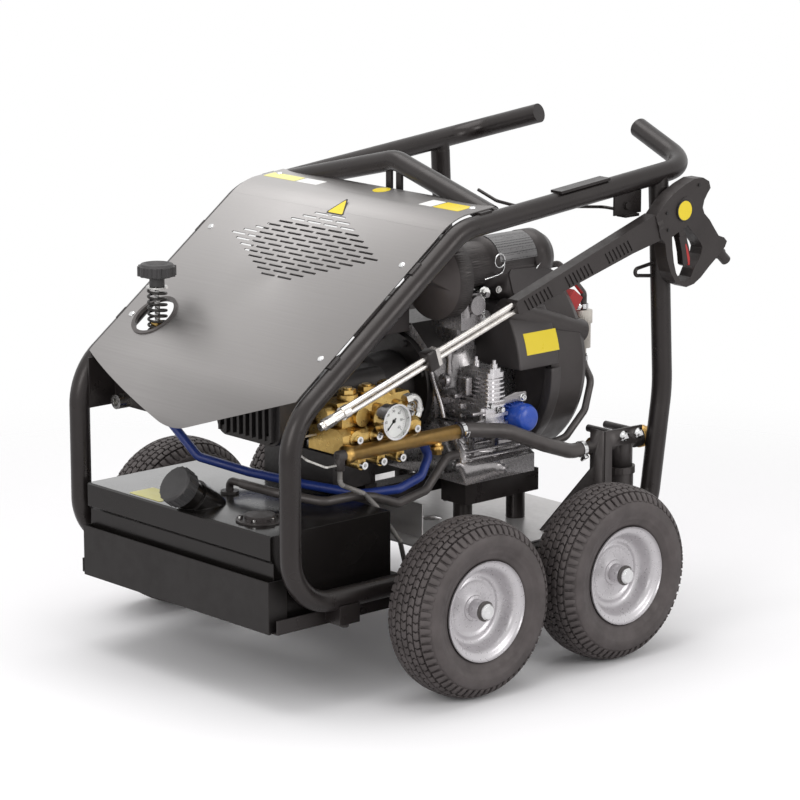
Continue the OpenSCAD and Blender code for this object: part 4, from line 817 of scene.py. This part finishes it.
# the carcass, closed from bead to bead, with a fine rib on each wall; its bore clears the rim
def tyreBody(centre):
    crown = []
    for k in range(-tyre["crownSteps"], tyre["crownSteps"] + 1):
        u = k / tyre["crownSteps"] * tyre["crownEnd"]
        groove = 1 - max(0.0, (abs(u) - tyre["treadEnd"])) / tyre["fadeOver"]
        across, radius = treadPoint(u, -tyre["tread"] * max(0.0, min(1.0, groove)))
        crown.append((min(radius, tyre["outer"]), across))
    wall = []
    for k in range(1, tyre["wallSteps"] + 1):
        a = math.radians(90 - 90 * k / tyre["wallSteps"])
        r = tyre["bead"] + (tyre["wide"] - tyre["bead"]) * math.sin(a)
        x = tyre["beadAt"] + (tyre["half"] - tyre["beadAt"]) * math.sin(a) ** tyre["wallShape"]
        if k in tyre["ribSteps"]:
            x += tyre["wallRib"]
        wall.append((r, x))
    outside = [(r, -x) for r, x in reversed(wall)] + crown + wall
    inside = tyre["bore"] + [(tyre["crownInside"], 0.0)] + [(r, -x) for r, x in reversed(tyre["bore"])]
    return turnedMesh("tyreBody", outside + inside, centre, (1, 0, 0), tyre["steps"])


unit = treadUnit()
for wheel in wheels:
    low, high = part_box("tyre_" + wheel)
    centre = tuple((a + b) / 2 for a, b in zip(low, high))
    values = {"Count": tyre["pitches"], "First": 0.0, "Step": 2 * math.pi / tyre["pitches"], "Centre": centre}
    tread = runNodes("tread_" + wheel, unit.copy(), fan, values, "wheel_" + wheel, "tyre", 40)
    carcass = newPiece("carcass_" + wheel, tyreBody(centre), "wheel_" + wheel, "tyre", 50)
    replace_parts(carcass, "tyre_" + wheel)
print("tyres made, tread faces:", len(tread.data.polygons))

spring = {
    "wire": 0.0047,
    "turns": 7.6,
    "press": 0.012,             # how much it shortens under the knob
}
low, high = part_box("regulator_spring")
tall = high[2] - low[2]
foot = ((low[0] + high[0]) / 2, (low[1] + high[1]) / 2, low[2] + spring["wire"] / 2)
seed = meshFrom("seed", [(0, 0, 0)], [])
regulatorSpring = runNodes("regulatorSpring", seed, coil, {
    "Turns": spring["turns"], "Radius": (high[0] - low[0]) / 2 - spring["wire"] / 2,
    "Wire": spring["wire"] / 2, "Height": tall - spring["wire"], "Foot": foot}, "chassis", "spring", 60)
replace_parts(regulatorSpring, "regulator_spring")
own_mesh(regulatorSpring)
print("regulator spring wound")

panel = {
    "knee": Vector((0, -0.510, 0.515)),     # fold line at the foot of the slope
    "ridge": Vector((0, -0.112, 0.813)),    # fold line between the slope and the top
    "slope": math.atan2(0.298, 0.398),
    "top": math.radians(5.6),
    "lift": 0.02412,                        # from these lines out to the sheet's face
    "stickerThick": 0.0003,
    "stickerSunk": 0.0001,
}
stickers = [                                # name, sheet, outline, corner radius and finish
    ("stickerLeft", "top", rect(-0.283, -0.192, 0.034, 0.062), 0.002, "paleYellow"),
    ("stickerLeftWhite", "top", rect(-0.188, -0.130, 0.034, 0.062), 0.002, "white"),
    ("stickerRound", "top", arc((0.012, 0.072), 0.017, [k * 11.25 for k in range(32)]), 0, "yellow"),
    ("stickerRight", "top", rect(0.196, 0.262, 0.030, 0.068), 0.002, "yellow"),
    ("stickerRightWhite", "top", rect(0.158, 0.192, 0.030, 0.068), 0.002, "white"),
    ("stickerTriangleEdge", "slope", [(-0.017, 0.4615), (0.033, 0.4615), (0.008, 0.505)], 0.003, "black"),
    ("stickerTriangle", "slope", [(-0.0125, 0.464), (0.0285, 0.464), (0.008, 0.4995)], 0.002, "yellow"),
]


def onPanel(sheet, x, along, height):
    a = panel[sheet]
    base = panel["knee"] if sheet == "slope" else panel["ridge"]
    ahead, up = Vector((0, math.cos(a), math.sin(a))), Vector((0, -math.sin(a), math.cos(a)))
    return base + Vector((x, 0, 0)) + ahead * along + up * (panel["lift"] + height)


# a thin plate whose outline is laid by toPoint, which takes two numbers and a height
def stickerMesh(name, outline, toPoint, raised=0.0):
    top = [toPoint(u, v, raised + panel["stickerThick"]) for u, v in outline]
    bottom = [toPoint(u, v, raised - panel["stickerSunk"]) for u, v in outline]
    return slabMesh(name, top, bottom)


for name, sheet, corners, radius, finish in stickers:
    outline = rounded(corners, radius) if radius else corners
    raised = 0.0002 if name == "stickerTriangle" else 0.0
    mesh = stickerMesh(name, outline, lambda u, v, h, s=sheet: onPanel(s, u, v, h), raised)
    newPiece(name, mesh, "chassis", finish)
print("panel dressed")

low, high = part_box("gauge_dial")
gauge = {
    "centre": Vector((high[0], (low[1] + high[1]) / 2, (low[2] + high[2]) / 2)),
    "radius": (high[2] - low[2]) / 2,
    "sweep": 270,
    "ticksOut": 0.9,            # where the ticks end, as a share of the radius
    "fine": (30, 0.0022, 0.0004),       # divisions, length and width of a tick
    "main": (6, 0.0042, 0.0009),
    "tickHigh": 0.0002,
    "numbersOut": 0.62,
    "numberSize": 0.0068,
    "numberHigh": 0.0001,
    "numberLift": 0.00015,
}


def tickMesh(size, width, outer):
    h, corners = gauge["tickHigh"], rect(-width / 2, width / 2, outer - size, outer)
    return slabMesh("tick", [(h, y, z) for y, z in corners], [(-h, y, z) for y, z in corners])


sweep = math.radians(gauge["sweep"])
for name, kind in (("gaugeFineTicks", "fine"), ("gaugeMainTicks", "main")):
    parts, size, width = gauge[kind]
    tick = tickMesh(size, width, gauge["radius"] * gauge["ticksOut"])
    runNodes(name, tick, fan, {
        "Count": parts + 1, "First": sweep / 2, "Step": -sweep / parts, "Centre": tuple(gauge["centre"])
    }, "chassis", "black")


# flat figures laid on a plane, as a mesh
def textMesh(words, across, up, at):
    curve = bpy.data.curves.new("words", "FONT")
    curve.body = words
    curve.size = gauge["numberSize"]
    curve.align_x, curve.align_y = "CENTER", "CENTER"
    curve.extrude = gauge["numberHigh"]
    obj = bpy.data.objects.new("words", curve)
    scene.collection.objects.link(obj)
    made = plainMesh(obj)
    made.transform(layMatrix(across, up, across.cross(up), at))
    return made


numbers = []
for k in range(gauge["main"][0] + 1):
    a = math.radians(225 - k * gauge["sweep"] / gauge["main"][0])
    out = gauge["radius"] * gauge["numbersOut"]
    spot = gauge["centre"] + Vector((gauge["numberLift"], math.cos(a) * out, math.sin(a) * out))
    numbers.append(textMesh(str(k * 10), Vector((0, 1, 0)), Vector((0, 0, 1)), spot))
newPiece("gaugeNumbers", joined("gaugeNumbers", numbers), "chassis", "black")
print("gauge dressed")

# (radius, along) from the hub's outer end over the disc and the flanges to its inner end
rim = {
    "profile": [
        (0.01005, 0.040), (0.0162, 0.040), (0.0172, 0.039), (0.0172, 0.017), (0.0225, 0.0155),
        (0.0235, 0.0135), (0.0300, 0.0115), (0.0440, 0.0105), (0.0475, 0.0112), (0.0505, 0.0138),
        (0.0530, 0.0138),
        (0.0560, 0.0112), (0.0600, 0.0108), (0.0640, 0.0125), (0.0675, 0.0165), (0.0700, 0.0225),
        (0.0722, 0.0300), (0.0745, 0.0360), (0.0775, 0.0400), (0.0815, 0.0420), (0.0860, 0.0430),
        (0.0888, 0.0445), (0.0903, 0.0470), (0.0910, 0.0488), (0.0915, 0.0480), (0.0912, 0.0455),
        (0.0898, 0.0428), (0.0870, 0.0412), (0.0820, 0.0402), (0.0785, 0.0385), (0.0769, 0.0350),
        (0.0768, 0.0280), (0.0752, 0.0200), (0.0715, 0.0120), (0.0700, 0.0000), (0.0715, -0.0120),
        (0.0752, -0.0200), (0.0768, -0.0280), (0.0769, -0.0350), (0.0785, -0.0385), (0.0820, -0.0402),
        (0.0870, -0.0412), (0.0898, -0.0428), (0.0915, -0.0480), (0.0905, -0.0488), (0.0880, -0.0450),
        (0.0775, -0.0405), (0.0735, -0.0360), (0.0700, -0.0220), (0.0660, -0.0040), (0.0620, 0.0065),
        (0.0300, 0.0070), (0.0172, 0.0075), (0.0172, -0.0390), (0.01005, -0.0390)],
    "seal": [(0.0104, 0.0405), (0.0180, 0.0405), (0.0185, 0.0415), (0.0185, 0.0445), (0.0104, 0.0445)],
    "steps": 96,
}
for wheel in wheels:
    low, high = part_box("rim_" + wheel)
    centre = Vector([(a + b) / 2 for a, b in zip(low, high)])
    out = (math.copysign(1, centre.x), 0, 0)
    dish = turnedMesh("dish", rim["profile"], centre, out, rim["steps"])
    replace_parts(newPiece("dish_" + wheel, dish, "wheel_" + wheel, "rim", 45), "rim_" + wheel)
    newPiece("hubSeal_" + wheel, turnedMesh("seal", rim["seal"], centre, out), "wheel_" + wheel, "hose")
print("rims made")

# the cowl and its lip over the fan's drum, with the sticker bent on it
drum = {
    "axis": (0.022, 0.500),         # x and z
    "radius": 0.203,
    "cowlAngles": range(4, 40, 3),
    "cowlFoot": [(0.166, 0.630), (0.060, 0.630), (0.060, 0.520), (0.120, 0.514)],
    "cowlEnds": (0.110, 0.212),
    "lipRadii": (0.1975, 0.176),
    "lipEnds": (0.197, 0.222),
    "stickerFrom": (0.131, 11.5),   # y and angle
    "stickerSize": (0.083, 11.5),
    "stickerCells": (8, 4),
    "stickerHeights": (0.0006, -0.0002),
}
cowl = arc(drum["axis"], drum["radius"], drum["cowlAngles"]) + drum["cowlFoot"]
newPiece("cowlShell", prismMesh("cowl", cowl, "y", *drum["cowlEnds"], 0.004, 3), "chassis", "cover", 40)
outer, inner = drum["lipRadii"]
lip = arc(drum["axis"], outer, range(-78, 6, 4)) + arc(drum["axis"], inner, range(2, -82, -4))
newPiece("shroudLip", prismMesh("lip", lip, "y", *drum["lipEnds"], 0.003, 3), "chassis", "cover", 40)


def drumSticker():
    columns, rows = drum["stickerCells"]
    wide, n = columns + 1, (columns + 1) * (rows + 1)
    points = []
    for height in drum["stickerHeights"]:
        for v in range(rows + 1):
            for u in range(wide):
                y = drum["stickerFrom"][0] + drum["stickerSize"][0] * u / columns
                angle = drum["stickerFrom"][1] + drum["stickerSize"][1] * v / rows
                (x, z), = arc(drum["axis"], drum["radius"] + height, [angle])
                points.append((x, y, z))
    faces = []
    for v in range(rows):
        for a in range(v * wide, v * wide + columns):
            faces.append((a, a + 1, a + wide + 1, a + wide))
            faces.append((a + n, a + n + wide, a + n + wide + 1, a + n + 1))
    edge = list(range(wide)) + [wide * v + columns for v in range(1, rows + 1)]
    edge += [wide * rows + u for u in range(columns - 1, -1, -1)] + [wide * v for v in range(rows - 1, 0, -1)]
    faces += [(a, b, b + n, a + n) for a, b in zip(edge, edge[1:] + edge[:1])]
    return meshFrom("stickerDrum", points, faces)


newPiece("stickerDrum", drumSticker(), "chassis", "yellow")


# a thin rod along a smooth route
def wirePiece(name, route, radius, finish, step=0.003):
    return newPiece(name, tubeMesh(name, smoothPath(route, step), radius, 8), "chassis", finish, 60)


cleaner = {
    "insertAxis": (0.126, 0.706),
    "insertRadii": (0.0515, 0.0485),
    "insertAngles": range(8, 92, 6),
    "insertEnds": (0.104, 0.199),
    "plate": [(0.127, 0.688), (0.134, 0.697), (0.214, 0.692), (0.243, 0.681), (0.243, 0.632), (0.150, 0.632),
              (0.138, 0.652)],
    "plateEnds": (0.170, 0.1755),
    "ringX": 0.178,
    "ringAxis": (0.101, 0.7165),
    "ringRadius": 0.0125,
    "ringWire": 0.0013,
    "tailWire": 0.0012,
    "ventWire": 0.0016,
    "tail": [(0.178, 0.113, 0.713), (0.178, 0.112, 0.703), (0.177, 0.106, 0.693), (0.174, 0.088, 0.688),
             (0.170, 0.070, 0.684)],
    "vent": [(0.176, 0.196, 0.690), (0.176, 0.212, 0.706), (0.172, 0.226, 0.712), (0.160, 0.244, 0.708)],
}
outer, inner = cleaner["insertRadii"]
insert = arc(cleaner["insertAxis"], outer, cleaner["insertAngles"])
insert += arc(cleaner["insertAxis"], inner, reversed(cleaner["insertAngles"]))
insert = prismMesh("insert", insert, "y", *cleaner["insertEnds"], 0.0012)
newPiece("cleanerInsert", insert, "chassis", "mesh", 40)
plate = prismMesh("plate", rounded(cleaner["plate"], 0.004), "x", *cleaner["plateEnds"], 0.0012)
newPiece("cleanerPlate", plate, "chassis", "cover", 40)
turns = [k * 350 / 36 for k in range(37)]
loop = [(cleaner["ringX"], y, z) for y, z in arc(cleaner["ringAxis"], cleaner["ringRadius"], turns)]
newPiece("wireRing", tubeMesh("ring", loop, cleaner["ringWire"], 8), "chassis", "chrome", 60)
wirePiece("wireRingTail", cleaner["tail"], cleaner["tailWire"], "chrome")
wirePiece("ventWire", cleaner["vent"], cleaner["ventWire"], "chrome")

carburettor = {
    "dome": [(0.0, -0.03), (0.012, -0.03), (0.012, 0.004), (0.0105, 0.006), (0.006, 0.006), (0.006, 0.012),
             (0.0, 0.012)],
    "cup": [(0.0, -0.02), (0.011, -0.02), (0.0125, 0.0), (0.010, 0.004), (0.0, 0.004)],
    "bolts": [      # place, axis, size, height and whether the head is a hexagon
        ((0.166, 0.109, 0.660), (1, 0, 0), 0.010, 0.004, False),
        ((0.152, 0.048, 0.680), (1, 0, 0.2), 0.011, 0.006, True),
        ((0.152, 0.072, 0.645), (1, -0.2, 0), 0.008, 0.005, True),
        ((0.150, 0.060, 0.630), (1, 0, 0), 0.009, 0.006, False)],
    "spring": {
        "Turns": 7.0, "Radius": 0.0045, "Wire": 0.0008, "Height": 0.024, "Foot": (0.156, 0.080, 0.604)},
    "rod": [(0.158, 0.050, 0.640), (0.160, 0.070, 0.622), (0.160, 0.090, 0.600), (0.158, 0.104, 0.590)],
}
bits = [turnedMesh("dome", carburettor["dome"], (0.146, 0.090, 0.654), (1, -0.3, 0.3), 24),
        turnedMesh("cup", carburettor["cup"], (0.150, 0.076, 0.640), (0.6, -0.5, 0.6), 28)]
bits += [boltMesh(*bolt) for bolt in carburettor["bolts"]]
newPiece("carburettorBits", joined("bits", bits), "chassis", "zinc", 40)
runNodes("throttleSpring", seed, coil, carburettor["spring"], "chassis", "chrome", 60)
wirePiece("throttleRod", carburettor["rod"], 0.0014, "zinc", 0.004)

cylinder = {
    "rib": [(0.104, -0.004, 0.530), (0.106, -0.005, 0.514), (0.121, -0.006, 0.481), (0.132, -0.005, 0.456),
            (0.140, -0.004, 0.430)],
    "boss": [(0.0, -0.004), (0.013, -0.004), (0.013, 0.004), (0.0115, 0.006), (0.0075, 0.006),
             (0.0075, -0.001), (0.0, -0.001)],
    "post": [(0.0, 0.0), (0.007, 0.0), (0.0055, 0.022), (0.0075, 0.030), (0.0075, 0.040), (0.0, 0.040)],
    "blocks": [     # two corners, rounding and its segments
        ((0.150, 0.018, 0.472), (0.178, 0.034, 0.508), 0.004, 3),
        ((0.116, 0.006, 0.466), (0.160, 0.034, 0.476), 0.003, 3),
        ((0.118, 0.008, 0.440), (0.206, 0.042, 0.447), 0.002, 2),
        ((0.118, 0.008, 0.424), (0.206, 0.042, 0.430), 0.002, 2)],
    "link": [(0.052, 0.463), (0.107, 0.474), (0.135, 0.472), (0.135, 0.453), (0.111, 0.457), (0.056, 0.454)],
    "linkEnds": (0.2125, 0.2155),
    "studs": [
        ((0.2155, 0.126, 0.462), (1, 0, 0), 0.011, 0.005, False),
        ((0.211, 0.046, 0.457), (1, 0, 0), 0.012, 0.008),
        ((0.211, 0.073, 0.446), (1, 0, 0), 0.012, 0.008),
        ((0.134, -0.006, 0.327), (0, -1, 0), 0.012, 0.008),
        ((0.100, 0.038, 0.262), (1, -0.6, 0), 0.009, 0.006)],
}
parts = [tubeMesh("rib", smoothPath(cylinder["rib"], 0.005), 0.0052, 12),
         turnedMesh("boss", cylinder["boss"], (0.134, 0.004, 0.498), (0, -1, 0), 28),
         turnedMesh("post", cylinder["post"], (0.137, 0.012, 0.512), (0, 0, 1), 20)]
parts += [boxMesh("block", *block) for block in cylinder["blocks"]]
newPiece("cylinderCastings", joined("castings", parts), "chassis", "darkAlu", 40)
link = prismMesh("link", rounded(cylinder["link"], 0.003), "x", *cylinder["linkEnds"], 0.0008)
newPiece("linkPlate", link, "chassis", "darkAlu")
studs = [boltMesh(*stud) for stud in cylinder["studs"]]
newPiece("engineStuds", joined("studs", studs), "chassis", "chrome", 40)

oilFilter = {
    "collar": [(0.0, 0.0), (0.029, 0.0), (0.029, 0.005), (0.027, 0.006), (0.0, 0.006)],
    "collarAt": 0.1655,
    "flutes": 24,
    "flute": ((-0.0016, -0.0017, 0.0), (0.0026, 0.0017, 0.034)),
    "fluteAt": 0.175,
    "fluteOut": 0.0268,
}
low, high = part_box("oil_filter")
filterAxis = ((low[1] + high[1]) / 2, (low[2] + high[2]) / 2)
collar = turnedMesh("collar", oilFilter["collar"], (oilFilter["collarAt"], *filterAxis), (1, 0, 0))
newPiece("filterCollar", collar, "chassis", "alu")
print("engine dressed")

hoseClamp = {
    "width": 0.009,
    "band": 0.0011,
    "housing": (0.006, 0.55, 0.003),        # half sizes, the middle one as a share of the width
    "housingOut": 0.0035,
    "screwOut": 0.007,
    "places": [                             # place, axis, hose radius and turn of the screw
        ((0.214, -0.030, 0.4235), (0, 1, 0), 0.0145, 60),
        ((0.256, 0.240, 0.352), (0, 1, 0), 0.0145, 100),
        ((0.158, 0.340, 0.497), (0, 0, 1), 0.0078, 200),
        ((0.158, 0.340, 0.598), (0, 0, 1), 0.0078, 200)],
}


# a worm clamp round a hose: a band, a housing and its screw
def clampMesh(at, axis, radius, turn):
    axis = Vector(axis).normalized()
    half, outer = hoseClamp["width"] / 2, radius + hoseClamp["band"]
    band = turnedMesh("band", [(radius, -half), (outer, -half), (outer, half), (radius, half)], at, axis, 40)
    side = Matrix.Rotation(math.radians(turn), 3, axis) @ axis.orthogonal().normalized()
    along = axis.cross(side)
    base = Vector(at) + side * (radius + hoseClamp["housingOut"])
    x, y, z = hoseClamp["housing"]
    y *= hoseClamp["width"]
    housing = boxMesh("housing", (-x, -y, -z), (x, y, z), 0.0008)
    housing.transform(layMatrix(along, axis, side, base))
    screw = pinMesh("screw", 0.0034, -0.002, 0.004, base + along * hoseClamp["screwOut"], along, 6)
    return joined("clamp", [band, housing, screw])


for k, values in enumerate(hoseClamp["places"]):
    newPiece("clamp%d" % k, clampMesh(*values), "chassis", "chrome", 40)
elbow = {
    "route": [(0.212, -0.156, 0.502), (0.213, -0.144, 0.502), (0.214, -0.135, 0.492), (0.214, -0.134, 0.476),
              (0.214, -0.138, 0.466)],
    "radius": 0.0075,
}
fitting = [pinMesh("nut", 0.0105, 0.0, 0.013, (0.212, -0.166, 0.500), (0, 1, 0.15), 6),
           tubeMesh("elbow", smoothPath(elbow["route"], 0.003), elbow["radius"], 16),
           pinMesh("ring", 0.0098, 0.0, 0.005, (0.214, -0.1345, 0.482), (0, 0, -1), 24)]
newPiece("gaugeElbow", joined("elbow", fitting), "chassis", "zinc", 40)

gun = {
    "discAt": (0.357, 0.4027, 0.7986),
    "disc": [(0.0, -0.002), (0.0185, -0.002), (0.0185, 0.0008), (0.0178, 0.0014), (0.0, 0.0014)],
    "discRim": [(0.0183, -0.002), (0.0205, -0.002), (0.0205, 0.0010), (0.0200, 0.0016), (0.0183, 0.0012)],
    "screws": [(0.357, 0.3567, 0.7982), (0.357, 0.3609, 0.7663), (0.357, 0.4421, 0.8420)],
    "screwRadius": 0.0030,
    "strip": [(0.4150, 0.7370), (0.4185, 0.7330), (0.4235, 0.7230), (0.4290, 0.7040), (0.4290, 0.6900),
              (0.4255, 0.6920), (0.4200, 0.7150)],
    "stripEnds": (0.3325, 0.3475),
}
sideways = (1, 0, 0)
newPiece("gunDisc", turnedMesh("disc", gun["disc"], gun["discAt"], sideways), "gun", "yellow")
newPiece("gunDiscRim", turnedMesh("rim", gun["discRim"], gun["discAt"], sideways), "gun", "black")
holes = [pinMesh("hole", gun["screwRadius"], -0.001, 0.0005, at, sideways) for at in gun["screws"]]
newPiece("gunScrews", joined("holes", holes), "gun", "black")
strip = prismMesh("strip", rounded(gun["strip"], 0.0015), "x", *gun["stripEnds"], 0.0006)
newPiece("triggerStrip", strip, "trigger", "red")
print("hoses and gun dressed")


# shows a copy of the node's mesh in which each face has the finish that choose names for its centre
def recolour(node, names, choose, merge=0.00002):
    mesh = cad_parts[node].data.copy()
    net = bmesh.new()
    net.from_mesh(mesh)
    bmesh.ops.remove_doubles(net, verts=net.verts, dist=merge)
    net.to_mesh(mesh)
    net.free()
    mesh.materials.clear()
    for name in names:
        mesh.materials.append(finishes[name])
    for face in mesh.polygons:
        face.material_index = names.index(choose(*face.center))
    piece = bpy.data.objects.new(node + "Coloured", mesh)
    scene.collection.objects.link(piece)
    smoothMesh(mesh)
    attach(piece, "chassis")
    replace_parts(piece, node)


bottle = {
    "bulbAt": Vector((0.150, 0.308, 0.611)),        # the red bulb behind it
    "bulbRadius": 0.031,
    "bulbEnd": 0.332,
    "axis": (0.158, 0.340),                         # x and y of the bottle itself
    "radius": 0.0176,
    "heights": (0.500, 0.592),
}


def bottleColour(x, y, z):
    if (Vector((x, y, z)) - bottle["bulbAt"]).length < bottle["bulbRadius"] and y < bottle["bulbEnd"]:
        return "red"
    low, high = bottle["heights"]
    inside = math.hypot(x - bottle["axis"][0], y - bottle["axis"][1]) < bottle["radius"]
    return "milk" if inside and low < z < high else "hose"


# where one finish ends and the next begins, along the axis that the name ends in
border = {
    "waterNutY": 0.3905,
    "waterRingY": (0.2665, 0.2875),
    "waterAxisZ": 0.352,
    "waterRing": 0.019,         # half of its height
    "waterFaceX": 0.2886,
    "lidY": -0.012,
    "blockZ": 0.545,
    "collarX": 0.1714,
    "railY": -0.3125,
    "wireZ": 0.4,
    "wireY": -0.3315,
    "wireX": 0.205,
}


# brass at the nut and the ring, and bright metal on the outer face
def waterColour(x, y, z):
    low, high = border["waterRingY"]
    onRing = low < y < high and abs(z - border["waterAxisZ"]) < border["waterRing"]
    if y > border["waterNutY"] or onRing:
        return "brassRail"
    return "chrome" if x > border["waterFaceX"] else "plastic"


# the thin tube stands above the wide one
def drainColour(x, y, z):
    thin = z > border["wireZ"] and (y < border["wireY"] or x < border["wireX"])
    return "wire" if thin else "greyHose"


recolour("breather_bottle", ["milk", "red", "hose"], bottleColour)
recolour("water_filter", ["plastic", "brassRail", "chrome"], waterColour)
# painted light: the cleaner's end face takes the paler copy of its plastic
recolour("air_cleaner", ["plastic", "lid"], lambda x, y, z: "lid" if y < border["lidY"] else "plastic")
recolour("engine_block", ["darkAlu", "castBlack"],
         lambda x, y, z: "castBlack" if z > border["blockZ"] else "darkAlu")
recolour("oil_filter", ["blue", "alu"], lambda x, y, z: "alu" if x < border["collarX"] else "blue")
recolour("inlet_rail", ["brassRail", "hose"], lambda x, y, z: "hose" if y < border["railY"] else "brassRail")
recolour("drain_hose", ["greyHose", "wire"], drainColour)
print("pieces of several colours shown")

flute = boxMesh("flute", *oilFilter["flute"], 0.0009)
runNodes("filterFlutes", flute, ring, {
    "Count": oilFilter["flutes"], "Radius": oilFilter["fluteOut"],
    "Centre": (oilFilter["fluteAt"], *filterAxis), "Turn": (0, math.pi / 2, 0)}, "chassis", "blue")

sender = {
    "screws": {"Count": 5, "Radius": 0.031, "Centre": (0.158, -0.467, 0.325), "Turn": (0, 0, 0.4)},
    "screw": [(0.0, -0.002), (0.0026, -0.002), (0.0026, 0.0016), (0.0018, 0.0024), (0.0, 0.0024)],
}
screw = turnedMesh("stud", sender["screw"], (0, 0, 0), (0, 0, 1), 12)
runNodes("senderScrews", screw, ring, sender["screws"], "chassis", "zinc")

tankSticker = {
    "outline": rect(-0.150, -0.060, -0.514, -0.458),
    "corner": 0.003,
    "tankTop": 0.3193,
}
outline = rounded(tankSticker["outline"], tankSticker["corner"])
sticker = stickerMesh("tankSticker", outline, lambda u, v, h: (u, v, tankSticker["tankTop"] + h))
newPiece("tankSticker", sticker, "chassis", "paleYellow")

lanceClip = {
    "size": (0.026, 0.021, 0.036),
    "at": (0.340, -0.2229, 0.6018),
    "tilt": math.radians(17.9),     # the lance's slope
    "soft": 0.003,
}
half = [s / 2 for s in lanceClip["size"]]
clip = boxMesh("clip", [-h for h in half], half, lanceClip["soft"], 3)
clip.transform(Matrix.Translation(lanceClip["at"]) @ Euler((lanceClip["tilt"], 0, 0)).to_matrix().to_4x4())
newPiece("lanceClip", clip, "gun", "frame")

pumpSkirt = {"low": (-0.098, -0.238, 0.319), "high": (0.098, -0.146, 0.388), "soft": 0.002}
skirt = boxMesh("skirt", pumpSkirt["low"], pumpSkirt["high"], pumpSkirt["soft"])
newPiece("pumpSkirt", skirt, "chassis", "castBlack")
print("small parts made")
